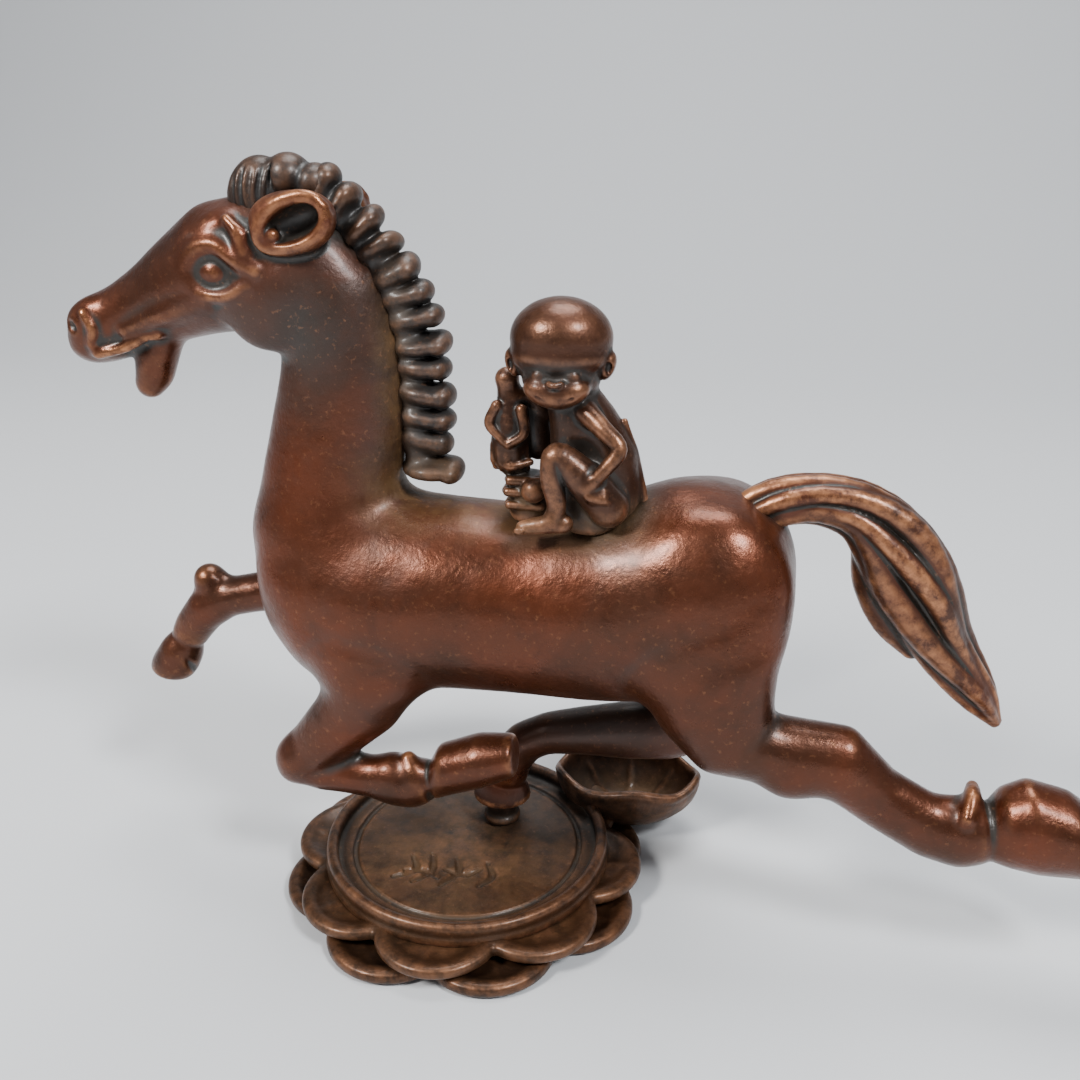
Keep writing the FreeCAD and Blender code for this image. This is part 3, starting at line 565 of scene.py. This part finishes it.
# %% [markdown]
# ## The rider and the small figure before it
#
# The rider is a young ape with a round cap of hair, a shadowed band where the eyes sit, and a broad
# muzzle. It squats with one knee up and holds a draped companion by the waist. Limbs this thin are
# best rolled, so their castings only claim their places here and the rolls make their shape.

# %% Lay the rider's castings
rider = Clay((2, -13, 46), (26, 8, 83), 0.15)
lay(rider, "rider_torso", melt=0.6, grow=0.15)
lay(rider, "rider_head", shape=False)
for limb in ("left_arm", "right_arm", "left_leg", "right_leg"):
    lay(rider, "rider_" + limb, shape=False)
lay(rider, "companion", shape=False)
lay(rider, "companion_plinth", melt=0.3, grow=0.05, join=0.4)
lay(rider, "ball", melt=0.2, grow=0.1, join=0.3)
print("rider clay:", rider.field.shape)

# %% The rider's head
rider.ball(at("rider_head", -0.1, 0.3, 1.5), (5.7, 5.3, 4.5), (-6, 0, 0), blend=0.5)
rider.ball(at("rider_head", -0.1, -0.2, -0.3), (5.5, 4.8, 2.6), blend=0.8)
rider.ball(at("rider_head", 0.0, -0.3, -2.6), (4.4, 3.9, 3.3), blend=0.8)
rider.roll([at("rider_head", -4.2, -3.8, -1.3), at("rider_head", -2.0, -5.4, -1.3),
            at("rider_head", 0.0, -5.8, -1.1), at("rider_head", 2.0, -5.4, -1.3),
            at("rider_head", 4.2, -3.8, -1.3)], (0.3, 0.6, 0.45, 0.6, 0.3), blend=1.0, carve=True)
for along in (-1.8, 1.7):
    rider.ball(at("rider_head", along, -4.0, -1.7), (0.8, 0.6, 0.55), blend=0.2)
    rider.ball(at("rider_head", along, -3.4, -3.3), (1.9, 1.8, 1.4), blend=0.7)
rider.ball(at("rider_head", 0.0, -3.7, -3.9), (2.6, 1.8, 1.6), blend=0.8)
rider.roll([at("rider_head", -0.6, -5.2, -2.4), at("rider_head", 0.0, -5.6, -2.5),
            at("rider_head", 0.7, -5.2, -2.4)], 0.3, blend=0.4)
rider.roll([at("rider_head", -2.0, -5.1, -3.9), at("rider_head", -0.8, -5.6, -4.4),
            at("rider_head", 0.9, -5.6, -4.4), at("rider_head", 2.0, -5.1, -3.9)],
           0.14, blend=0.2, carve=True)
for side in (-1, 1):
    lobe = at("rider_head", -0.1, -0.4, -1.3) + (side * 5.3, 0, 0)
    rider.ball(lobe, (0.8, 1.5, 1.6), (0, side * 18, 0), blend=0.5)
    rider.ball(lobe + (side * 0.2, -1.3, -0.1), (0.4, 0.7, 0.8), blend=0.3, carve=True)
rider.roll([at("rider_head", 0.4, 0.6, -4.2), at("rider_head", 1.7, 0.6, -6.6)], (2.7, 3.0), blend=0.8)

# %% Arms, legs, hands and feet
rider.ball(at("rider_torso", -0.9, -4.8, 1.6), (2.4, 1.6, 2.4), blend=0.8, carve=True)
rider.roll([at("rider_left_arm", -2.2, 2.1, 3.5), at("rider_left_arm", -0.2, 0.5, 2.1),
            at("rider_left_arm", 1.7, -0.5, 0.2), at("rider_left_arm", 0.2, -1.2, -2.1),
            at("rider_left_arm", -1.6, -1.3, -4.1)], (1.35, 1.1, 0.95, 0.8, 0.75), blend=0.5)
for finger in range(4):
    start = at("rider_left_arm", -1.4, -1.3, -4.3) + (0.55 * finger, 0.1 * finger, -0.1 * finger)
    rider.roll([start, start + (0.1, -0.5, -0.7), start + (0.5, -0.1, -1.2)],
               (0.4, 0.38, 0.3), blend=0.12)
rider.roll([at("rider_right_arm", 0.7, -1.9, 2.2), at("rider_right_arm", -1.2, -0.1, 0.0),
            at("rider_right_arm", -3.6, -0.5, -1.8)], (1.5, 1.2, 0.8), blend=0.5)
rider.roll([at("rider_left_leg", 4.6, 0.9, -1.8), at("rider_left_leg", 1.9, -0.1, 1.8),
            at("rider_left_leg", -1.0, -0.3, 4.2), at("rider_left_leg", -1.5, -0.7, 1.8),
            at("rider_left_leg", -1.0, -0.7, -1.4), at("rider_left_leg", -1.5, -0.9, -3.1)],
           (2.3, 2.1, 1.6, 1.35, 1.1, 1.1), blend=0.5)
rider.roll([at("rider_left_leg", -0.2, -0.6, -3.5), at("rider_left_leg", -2.8, -1.0, -3.7),
            at("rider_left_leg", -4.8, -1.0, -4.1)], (1.1, 1.0, 0.8), blend=0.4)
for toe in range(4):
    rider.ball(at("rider_left_leg", -5.1, -1.9, -4.2) + (0.1 * toe, 0.55 * toe, 0),
               (0.6, 0.32, 0.42), blend=0.1)
rider.roll([at("rider_right_leg", 3.4, -0.7, -1.5), at("rider_right_leg", 0.4, 0.3, 1.9),
            at("rider_right_leg", -2.2, 0.5, 3.9), at("rider_right_leg", -2.7, 0.5, -0.6),
            at("rider_right_leg", -2.6, 0.5, -3.1)], (2.2, 1.8, 1.4, 1.1, 1.0), blend=0.5)
rider.roll([at("rider_right_leg", -2.0, 0.5, -3.5), at("rider_right_leg", -4.0, 0.5, -3.9)],
           (1.0, 0.8), blend=0.4)
rider.roll([at("rider_torso", 3.1, 0.2, 4.7), at("rider_torso", 4.6, 0.2, -0.8),
            at("rider_torso", 5.8, 0.2, -6.0)], (0.3, 0.6, 0.6), blend=0.5)
for side in (-1, 1):
    rider.roll([at("rider_torso", -4.9, 2.6, 4.8) + (0, side * 1.2, 0),
                at("rider_torso", -4.7, 2.6, -3.4) + (0, side * 2.2, 0)], 0.3, blend=0.4, carve=True)

# %% [markdown]
# ## The companion
#
# The little figure is a knob of a head on a short robe, with both hands drawn in front and a cloak
# behind. It stands on a stepped plinth, and a ball lies on the step beside its hem.

# %% Robe, cloak, hands, plinth and ball
rider.roll([at("companion", -1.0, -0.7, 5.2), at("companion", -0.8, -0.6, 3.5)], (1.4, 1.2), blend=0.3)
rider.roll([at("companion", -0.6, -0.5, 3.3), at("companion", -0.6, -0.7, 0.2),
            at("companion", -0.6, -0.7, -3.5), at("companion", 0.0, -0.5, -5.2)],
           (1.5, 2.1, 2.3, 1.5), blend=0.5)
rider.ball(at("companion", 1.9, 0.7, -0.8), (2.0, 1.5, 3.9), (0, -8, 0), blend=0.35)
rider.roll([at("companion", -0.3, -1.1, 3.2), at("companion", 1.5, -0.1, 3.0),
            at("companion", 3.3, 0.7, 0.8)],
           (0.9, 0.9, 0.7), blend=0.4)
rider.roll([at("companion", -2.0, -1.9, 2.3), at("companion", -2.8, -2.1, 0.2),
            at("companion", -1.0, -2.7, -1.6)],
           (0.7, 0.65, 0.5), blend=0.3)
rider.roll([at("companion", 0.9, -2.1, 2.0), at("companion", 1.3, -2.7, -0.5),
            at("companion", -0.5, -2.9, -1.9)],
           (0.7, 0.6, 0.5), blend=0.3)
for fold in range(5):
    start = at("companion", -2.6, 0.5, -2.5) + (0.95 * fold, -2.0 - 1.1 * math.sin(math.pi * fold / 4), 0)
    rider.roll([start, start + (0.1, -0.1, -1.4), start + (0.25, 0.1, -2.6)],
               (0.35, 0.45, 0.35), blend=0.3)
rider.roll([at("companion", -2.5, -1.5, -4.2), at("companion", -0.3, -2.9, -4.5),
            at("companion", 1.9, -1.9, -4.2)],
           (0.4, 0.5, 0.4), blend=0.3)
for rise, wide in ((4.8, 2.5), (3.4, 2.9), (1.8, 2.6)):
    rider.roll([at("companion_plinth", -0.1 - wide * 0.7, -2.0, rise),
                at("companion_plinth", -0.1 + wide * 0.7, -2.0, rise)], 0.55, blend=0.2)
    rider.roll([at("companion_plinth", -0.1 - wide * 0.8, -1.4, rise),
                at("companion_plinth", -0.1 - wide * 0.8, 2.2, rise)], 0.5, blend=0.2)
rider.ball(at("ball", 0.1, -0.1, 0.1), 1.45, blend=0.15)

# %% [markdown]
# ## The lotus foot
#
# Two rings of eight tongue-shaped petals lie one on the other, the upper ring turned half a petal.
# Each petal is dished like a spoon, and its rim stands up and is worn bright. A petal is easiest to
# say as a height over the ground: a floor that sinks in the middle, with a ridge just inside an oval
# outline. The clay then lies between that height and a thin underside.

# %% A ring of petals
PETALS = 8
REACH = {"lower_petals": 24.7, "upper_petals": 24.0}
FOOT_LOW, FOOT_HIGH = np.array(((-27, -27, -1), (27, 27, 8)))
foot = Clay(FOOT_LOW, FOOT_HIGH, 0.2)
x, y, z = foot.places(foot.part(FOOT_LOW, FOOT_HIGH))


def ring_of_petals(name, first, long, broad, rim):
    """Dished petals in a casting's box: the first one's angle, half sizes and rim height."""
    low, high = (np.array(corner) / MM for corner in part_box(name))
    reach = high[1] if first else high[0]
    hub = np.hypot(x, y) - (reach - 2 * long + 4)
    field = np.maximum(np.maximum(hub, z - (high[2] - 1.0)), low[2] - z)
    for count in range(PETALS):
        angle = math.radians(first + 360 / PETALS * count)
        out = x * math.cos(angle) + y * math.sin(angle) - (REACH[name] - long)
        across = y * math.cos(angle) - x * math.sin(angle)
        oval = np.sqrt((out / long) ** 2 + (across / broad) ** 2)
        outline = (oval - 1) * min(long, broad)
        ridge = rim * np.exp(-((outline + 1.1) / 1.15) ** 2)
        vein = 0.22 * np.exp(-(across / 0.5) ** 2) * np.clip(-outline - 1.5, 0, 1)
        bowl_deep = 0.3 * np.clip(1 - oval ** 2, 0, 1) + 0.03 * (out + long)
        top = high[2] - rim - bowl_deep + ridge + vein
        under = low[2] + 0.45 * np.clip(oval, 0, 1) ** 3 * (1 if first else 0)
        petal = np.maximum(np.maximum(outline, (z - top) * 0.9), under - z)
        field = soft_least(field, petal, 0.15)
    return blur(field, 0.16 / foot.step)


lower = ring_of_petals("lower_petals", 22.5, 7.4, 8.2, 0.75)
upper = ring_of_petals("upper_petals", 0.0, 7.6, 8.0, 0.6)
print("petals:", 2 * PETALS)

# %% [markdown]
# ## Dish, leaf and stud
#
# A shallow dish lies on the petals, with a thin standing rim and a few strokes that the maker cut in
# its floor. Beside it a curled leaf makes a small bowl, and a stud comes up through the dish to carry
# the one hoof that touches down.

# %% The dish
low, high = (np.array(corner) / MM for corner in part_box("dish"))
away = np.hypot(x, y)
floor_up = high[2] - 1.85 - 0.12 * np.cos(away / 4.5)
dish = np.maximum(np.maximum(z - floor_up, low[2] - 0.5 - z), away - high[0])
wall = np.hypot(away - high[0] + 0.95, (z - high[2] + 0.85) * 0.9) - 0.82
foot.field = blur(soft_least(dish, wall, 0.5), 0.12 / foot.step)
foot.roll([at("dish", -15.4 * math.cos(turn), 15.4 * math.sin(turn), -0.5)
           for turn in np.linspace(0, 2 * math.pi, 25)],
          0.34, blend=0.3, carve=True, steps=3)
STROKES = [((-8, -9), (-5.5, -7), (-6.5, -4.5)), ((-5.2, -9.5), (-3.4, -6.8), (-4.0, -3.6)),
           ((-6.8, -7.4), (-4.0, -7.0), (-2.2, -8.2)), ((-1.4, -9.6), (0.2, -6.4), (-0.6, -3.8)),
           ((-1.6, -6.4), (1.2, -6.8), (3.0, -5.6)), ((3.6, -8.8), (4.8, -6.6), (3.8, -4.2))]
for stroke in STROKES:
    foot.roll([at("dish", px, py, -0.5) for px, py in stroke], (0.35, 0.6, 0.35), blend=0.25, carve=True)
dish = foot.field
print("strokes in the dish:", len(STROKES))

# %% The leaf
LEAF_LOW, LEAF_HIGH = np.array(((7, 4, -1), (35, 25, 13)))
bowl = Clay(LEAF_LOW, LEAF_HIGH, 0.2)
leaf = at("lotus_leaf", 0.0, 0.0, 3.6)
bowl.ball(leaf, (10.6, 7.1, 8.0), blend=0.2)
bowl.ball(leaf + (0, 0, 0.3), (9.5, 6.0, 7.0), blend=0.4, carve=True)
x_leaf, y_leaf, z_leaf = bowl.places(bowl.part(LEAF_LOW, LEAF_HIGH))
round_leaf = np.arctan2((y_leaf - leaf[1]) / 7.1, (x_leaf - leaf[0]) / 10.6)
brim = leaf[2] + 0.5 * np.cos(5 * round_leaf + 0.8)
bowl.field = blur(-soft_least(-bowl.field, brim - z_leaf, 0.4), 0.15 / bowl.step)
for turn in np.linspace(0, 2 * math.pi, 9)[:-1]:
    side = np.array((10.0 * math.cos(turn), 6.6 * math.sin(turn), -0.6))
    bowl.roll([leaf + (0, 0, -7.0), leaf + side * (0.55, 0.55, 0) + (0, 0, -5.6),
               leaf + side * (0.9, 0.9, 0) + (0, 0, -2.2)], 0.3, blend=0.5)
brim_line = [leaf + (10.1 * math.cos(a), 6.6 * math.sin(a), 0.5 * math.cos(5 * a + 0.8) - 0.1)
             for a in np.linspace(0, 2 * math.pi, 41)]
bowl.roll(brim_line, 0.55, blend=0.4, steps=2)
bowl.roll([leaf + (-9, 3, -4), leaf + (-5, 1, -7.4), leaf + (2, 0, -8.2)], 0.7, blend=0.8)

# %% The stud
stud = Clay((-2, 0, -1), (9, 12, 12), 0.2)
foot_of = at("foot_stud", 0.0, 0.0, -4.5)
stud.roll([foot_of + (0, 0, 2.8), foot_of + (0, 0, 4.5), foot_of + (0, 0, 7.6)], (2.6, 1.9, 2.2),
          blend=0.3)
stud.roll([foot_of + (2.1 * math.cos(turn), 2.1 * math.sin(turn), 5.6)
           for turn in np.linspace(0, 2 * math.pi, 13)],
          0.5, blend=0.6)
print("dish, leaf and stud made")

# %% [markdown]
# ## Cast grain, and how hemmed in each place is
#
# Sand-soft unevenness from the casting goes into the shape itself, a tenth of a millimetre deep, so
# that highlights break up as they do on real metal. Then all the clay is poured into one coarse grid.
# Blurred, it tells each point how much bronze stands round it, which sets the painted shade and dark
# patina that hollows get.

# %% Grain
def grain(clay, size, depth, seed):
    """Smooth lumps that size apart, added to the distances."""
    knots = np.ceil(clay.count * clay.step / size).astype(int) + 4
    lumps = np.random.RandomState(seed).uniform(-1, 1, knots)
    for axis in range(3):
        spots = np.arange(clay.count[axis]) * clay.step / size
        base = spots.astype(int)
        share = spots - base
        share = share * share * (3 - 2 * share)
        lumps = np.moveaxis(lumps, axis, 0)
        shape = (-1,) + (1,) * (lumps.ndim - 1)
        lumps = lumps[base] * (1 - share.reshape(shape)) + lumps[base + 1] * share.reshape(shape)
        lumps = np.moveaxis(lumps, 0, axis)
    clay.field += (depth * lumps).astype(np.float32)


for block, coarse, fine in ((horse, 0.09, 0.012), (rider, 0.04, 0.015), (mane, 0.05, 0.04),
                            (forelock, 0.05, 0.04), (tail, 0.06, 0.04), (bowl, 0.12, 0.05)):
    grain(block, 5.0, coarse, 11)
    grain(block, 1.3, fine, 12)

# %% Pour everything into one coarse grid
whole = Clay((-52, -28, -2), (86, 28, 100), 0.5)
filled = np.zeros(whole.count, np.float32)
everywhere = [(block, block.field) for block in (horse, rider, mane, forelock, tail, bowl, stud)]
everywhere += [(foot, lower), (foot, upper), (foot, dish)]
for block, field in everywhere:
    inside = np.argwhere(field < 0)
    spots = np.round((inside + block.start) * block.step / whole.step).astype(int) - whole.start
    filled[tuple(spots.T)] = 1
# How much bronze stands round each point sets the painted shade of hollows, with their dark patina.
whole.field = np.maximum(blur(filled, 2.2 / whole.step), 0.6 * blur(filled, 5 / whole.step) + 0.15)
print("bronze fills", round(float(filled.sum()) * whole.step ** 3), "cubic mm")

# %% [markdown]
# ## Make the pieces
#
# Each casting now gets its own closed mesh, and the plain casting under it is hidden. Ochre earth
# was left along the crest, on the withers and in the dish, so those places are told first, and so are
# the spots that get painted shade with dark patina, such as the neck, the belly, the far hind leg and
# the back of the dish.

# %% Earth and painted shade, then the pieces
EARTH += [
    (at("neck", 9.1, 0.0, 3.0), (2.2, 5, 16), 0.9),
    (at("trunk", -9.9, 0.0, 13.8), (9, 9, 4.5), 1.0),
    (at("trunk", 4.6, -2.0, 11.3), (12, 8, 3.0), 0.9),
    (at("rider_left_leg", -2.9, -0.5, -4.4), (5, 4, 2.4), 0.8),
    (at("dish", -2.0, -4.0, -0.3), (17, 15, 1.6), 0.6),
    (at("lotus_leaf", 0.4, -0.5, -1.9), (9, 6, 4.0), 0.8),
    (at("upper_petals", 0.0, 0.0, -0.5), (23, 23, 1.2), 0.45),
]
# Painted shade with dark patina: dark blobs (middle, radii, strength) on spots that lie in shade.
SHADE_AND_PATINA += [
    (at("neck", 0.6, 0.0, 10.0), (8.5, 10, 9), 1.0),
    (at("head", 9.6, 0.0, -0.6), (8, 9, 4.5), 0.8),
    (at("trunk", -3.4, 0.0, -13.2), (26, 12, 3.5), 0.7),
    (at("mane", 2.1, 0.0, -2.7), (9, 6, 24), 0.9),
    (at("forelock", 1.7, 0.0, -0.2), (8, 6, 6), 0.6),
    (at("tail", 2.2, 0.0, 0.9), (16, 6, 18), 0.55),
    (at("dish", 2.0, 9.0, -0.3), (21, 13, 5), 1.0),
    (at("right_hind_leg", -3.8, -0.6, 1.5), (22, 6, 9), 0.8),
    (at("rider_head", -0.2, -5.4, -1.2), (5, 2.5, 1.2), 0.8),
    (at("rider_torso", -4.1, -0.4, 0.2), (4, 6, 6), 0.5),
]
for name in ["trunk", "neck", "head", "left_ear", "right_ear"]:
    cast_piece(horse, name, "horse_bronze")
for leg in LEGS:
    cast_piece(horse, leg + "_leg", "horse_bronze")
    cast_piece(horse, leg + "_hoof", "horse_bronze")
for name in ["torso", "head", "left_arm", "right_arm", "left_leg", "right_leg"]:
    cast_piece(rider, "rider_" + name, "rider_bronze")
for name in ["companion", "companion_plinth", "ball"]:
    cast_piece(rider, name, "rider_bronze")
for block, field, name, slot in ((mane, mane.field, "mane", "mane_bronze"),
                                 (forelock, forelock.field, "forelock", "mane_bronze"),
                                 (tail, tail.field, "tail", "horse_bronze"),
                                 (foot, lower, "lower_petals", "base_bronze"),
                                 (foot, upper, "upper_petals", "base_bronze"),
                                 (foot, dish, "dish", "base_bronze"),
                                 (bowl, bowl.field, "lotus_leaf", "base_bronze"),
                                 (stud, stud.field, "foot_stud", "base_bronze")):
    everything = tuple(slice(0, int(count)) for count in block.count)
    piece = skin(block, name + "_bronze", everything, field, slot)
    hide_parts(name)
    print(piece.name, len(piece.data.polygons), "quads")

# %% [markdown]
# ## Bronze
#
# Old statue bronze is metal under a thin, waxed, brown skin. One recipe serves all four finishes and
# only its colours and amounts change: a mottled red-brown, with painted shade and dark patina in the
# hollows, creases and shaded spots, rubbed back to bright copper on edges, and dusted with ochre where
# earth was left. Uniform numbers are set on the shader itself; only what varies over the surface is
# wired.

# %% A small helper for node trees
class Recipe:
    """A material's nodes, wired by short calls."""

    def __init__(self, name):
        self.material = bpy.data.materials.new(name)
        self.material.use_nodes = True
        self.tree = self.material.node_tree
        self.shader = self.tree.nodes["Principled BSDF"]

    def add(self, kind, values=None, **settings):
        made = self.tree.nodes.new("ShaderNode" + kind)
        for key, value in settings.items():
            setattr(made, key, value)
        for socket, value in (values or {}).items():
            if isinstance(value, bpy.types.NodeSocket):
                self.tree.links.new(value, made.inputs[socket])
            else:
                made.inputs[socket].default_value = value
        return made

    def noise(self, scale, detail=4.0, rough=0.55, twist=0.0):
        place = self.add("TexCoord").outputs["Object"]
        return self.add("TexNoise", {"Vector": place, "Scale": scale, "Detail": detail,
                                     "Roughness": rough, "Distortion": twist}).outputs["Fac"]

    def spread(self, value, low, high, start=0.0, end=1.0):
        """Stretch a value from one range to another, and stop at its ends."""
        return self.add("MapRange", {"Value": value, "From Min": low, "From Max": high,
                                     "To Min": start, "To Max": end}).outputs["Result"]

    def maths(self, act, one, two):
        """Two values put through one act, kept between 0 and 1."""
        return self.add("Math", {0: one, 1: two}, operation=act, use_clamp=True).outputs[0]

    def blend(self, amount, one, two):
        mixed = self.add("Mix", data_type="RGBA")
        for socket, value in ((mixed.inputs[0], amount), (mixed.inputs[6], one), (mixed.inputs[7], two)):
            if isinstance(value, bpy.types.NodeSocket):
                self.tree.links.new(value, socket)
            else:
                socket.default_value = (*value, 1.0) if isinstance(value, tuple) else value
        return mixed.outputs[2]

    def mark(self, name):
        return self.add("Attribute", attribute_name=name).outputs["Fac"]


# %% The recipe
def bronze(name, red, brown, dark_patina_and_shade, copper, worn=1.0, earthy=1.0, rough=0.31):
    """Waxed brown bronze: four colours, then how worn, earthy and rough it is."""
    mix = Recipe(name)
    cloud = mix.spread(mix.noise(70, 5, 0.55, 0.3), 0.34, 0.66)
    speck = mix.spread(mix.noise(1500, 3, 0.6), 0.60, 0.78)
    colour = mix.blend(cloud, brown, red)
    blotch = mix.spread(mix.noise(190, 5, 0.6, 0.5), 0.50, 0.75)
    colour = mix.blend(mix.maths("MULTIPLY", blotch, 0.38), colour, dark_patina_and_shade)
    # Painted shade, with dark patina: hollows, creases and the shaded spots are mixed toward the dark
    # colour.
    hollow = mix.spread(mix.mark("hemmed_shade_and_patina"), 0.50, 0.74)
    crease_shade_and_patina = mix.spread(mix.mark("edge"), 0.05, -0.75)
    shade_and_patina = mix.maths("MULTIPLY", mix.mark("shade_and_patina"), mix.spread(mix.noise(160, 5, 0.6), 0.25, 0.5, 0.6))
    deep = mix.maths("MAXIMUM", mix.maths("MAXIMUM", hollow, crease_shade_and_patina), shade_and_patina)
    colour = mix.blend(deep, colour, dark_patina_and_shade)
    dust = mix.spread(mix.noise(260, 6, 0.7, 0.5), 0.30, 0.62)
    dust = mix.maths("MULTIPLY", mix.maths("MULTIPLY", mix.mark("earth"), dust), 0.85 * earthy)
    colour = mix.blend(dust, colour, (0.100, 0.048, 0.013))
    rub = mix.spread(mix.noise(480, 5, 0.7), 0.38, 0.62)
    ridge = mix.spread(mix.mark("edge"), 0.6, 2.8)
    wear = mix.maths("MULTIPLY", mix.maths("MULTIPLY", ridge, rub), worn)
    colour = mix.blend(wear, colour, copper)
    colour = mix.blend(mix.maths("MULTIPLY", speck, 0.28), colour, copper)
    mix.tree.links.new(colour, mix.shader.inputs["Base Color"])
    gloss = mix.spread(mix.noise(330, 5, 0.65), 0.3, 0.7, rough - 0.07, rough + 0.10)
    gloss = mix.maths("ADD", gloss, mix.maths("MULTIPLY", dust, 0.35))
    gloss = mix.maths("ADD", gloss, mix.maths("MULTIPLY", deep, 0.16))
    mix.tree.links.new(gloss, mix.shader.inputs["Roughness"])
    metal = mix.spread(mix.maths("MAXIMUM", deep, dust), 0.0, 1.0, 0.72, 0.15)
    mix.tree.links.new(metal, mix.shader.inputs["Metallic"])
    mix.shader.inputs["Coat Weight"].default_value = 0.14
    mix.shader.inputs["Coat Roughness"].default_value = 0.22
    pits = mix.spread(mix.noise(1250, 4, 0.6), 0.2, 0.75)
    first = mix.add("Bump", {"Height": pits, "Strength": 0.4, "Distance": 0.00009})
    skin_bump = mix.add("Bump", {"Height": mix.noise(300, 6, 0.7), "Normal": first.outputs[0],
                                 "Strength": 0.32, "Distance": 0.0002})
    mix.tree.links.new(skin_bump.outputs[0], mix.shader.inputs["Normal"])
    return mix.material


FINISHES = {
    "horse_bronze": bronze("waxed_red_brown_bronze", (0.112, 0.027, 0.009), (0.058, 0.020, 0.009),
                           (0.012, 0.008, 0.005), (0.36, 0.15, 0.065)),
    "mane_bronze": bronze("dark_mane_bronze", (0.044, 0.021, 0.012), (0.020, 0.012, 0.008),
                          (0.008, 0.006, 0.005), (0.24, 0.11, 0.055), worn=0.3, earthy=0.35,
                          rough=0.36),
    "rider_bronze": bronze("dark_rider_bronze", (0.075, 0.026, 0.012), (0.040, 0.017, 0.009),
                           (0.013, 0.008, 0.005), (0.32, 0.14, 0.07), worn=0.6, rough=0.33),
    "base_bronze": bronze("rubbed_foot_bronze", (0.056, 0.023, 0.010), (0.030, 0.015, 0.008),
                          (0.010, 0.007, 0.005), (0.28, 0.12, 0.055), worn=0.4, rough=0.42),
}
for piece in pieces.values():
    piece.data.materials.append(FINISHES[piece["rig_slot"]])
print("finishes:", list(FINISHES))

# %% [markdown]
# ## Floor, light and camera
#
# A pale sheet rolls up behind the figure, so there is no horizon. Two big soft lamps stand left and
# right, and a third one over the figure draws the bright spots on its back.

# %% The sheet
def floor_height(back):
    """Flat, then a quarter circle up, then a wall."""
    start, round_up = 0.30, 0.35
    if back <= start:
        return back, 0.0
    turn = min((back - start) / round_up, math.pi / 2)
    rest = max(back - start - round_up * math.pi / 2, 0)
    return start + round_up * math.sin(turn), round_up * (1 - math.cos(turn)) + rest


build = bmesh.new()
rows = []
for back in np.linspace(-1.2, 2.4, 73):
    deep, high = floor_height(float(back))
    rows.append([build.verts.new((side, deep, high)) for side in (-2.5, 2.5)])
for one, two in zip(rows, rows[1:]):
    build.faces.new((one[0], one[1], two[1], two[0]))
sheet_mesh = bpy.data.meshes.new("pale_sheet")
build.to_mesh(sheet_mesh)
build.free()
sheet_mesh.shade_smooth()
sheet = bpy.data.objects.new("pale_sheet", sheet_mesh)
bpy.context.scene.collection.objects.link(sheet)
paper = Recipe("pale_paper")
paper.shader.inputs["Base Color"].default_value = (0.50, 0.51, 0.525, 1)
paper.shader.inputs["Roughness"].default_value = 0.75
sheet_mesh.materials.append(paper.material)
sheet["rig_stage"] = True

# %% Lamps and air
def lamp(name, place, wide, watts, colour):
    """A soft square lamp that looks at the figure."""
    light = bpy.data.lights.new(name, "AREA")
    light.size, light.energy, light.color = wide, watts, colour
    made = bpy.data.objects.new(name, light)
    made.location = place
    made.rotation_euler = (Vector((0.01, 0, 0.045)) - made.location).to_track_quat("-Z", "Y").to_euler()
    bpy.context.scene.collection.objects.link(made)


lamp("left_lamp", (-0.36, -0.36, 0.50), 0.13, 6.4, (1.0, 0.985, 0.96))
lamp("right_lamp", (0.34, -0.26, 0.50), 0.12, 4.6, (0.96, 0.98, 1.0))
lamp("top_lamp", (0.02, 0.16, 0.60), 0.30, 3.4, (1.0, 1.0, 1.0))
air = bpy.data.worlds.new("soft_air")
air.use_nodes = True
air.node_tree.nodes["Background"].inputs["Color"].default_value = (0.80, 0.84, 0.90, 1)
air.node_tree.nodes["Background"].inputs["Strength"].default_value = 0.38
bpy.context.scene.world = air

# %% The camera
lens = bpy.data.cameras.new("eye")
lens.sensor_width = lens.lens = 36.0
eye = bpy.data.objects.new("eye", lens)
eye.location = (0.0312, -0.1196, 0.0995)
eye.rotation_euler = (math.radians(68), 0, math.radians(10))
lens.clip_start = 0.005
bpy.context.scene.collection.objects.link(eye)
bpy.context.scene.camera = eye

# %% [markdown]
# ## The size of the figure
#
# The clay must not outgrow the castings it stands for, so the box of all the shown pieces is printed.

# %% Print the box
low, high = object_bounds()
print("visual box", [round(v, 4) for v in (*low, *high)])
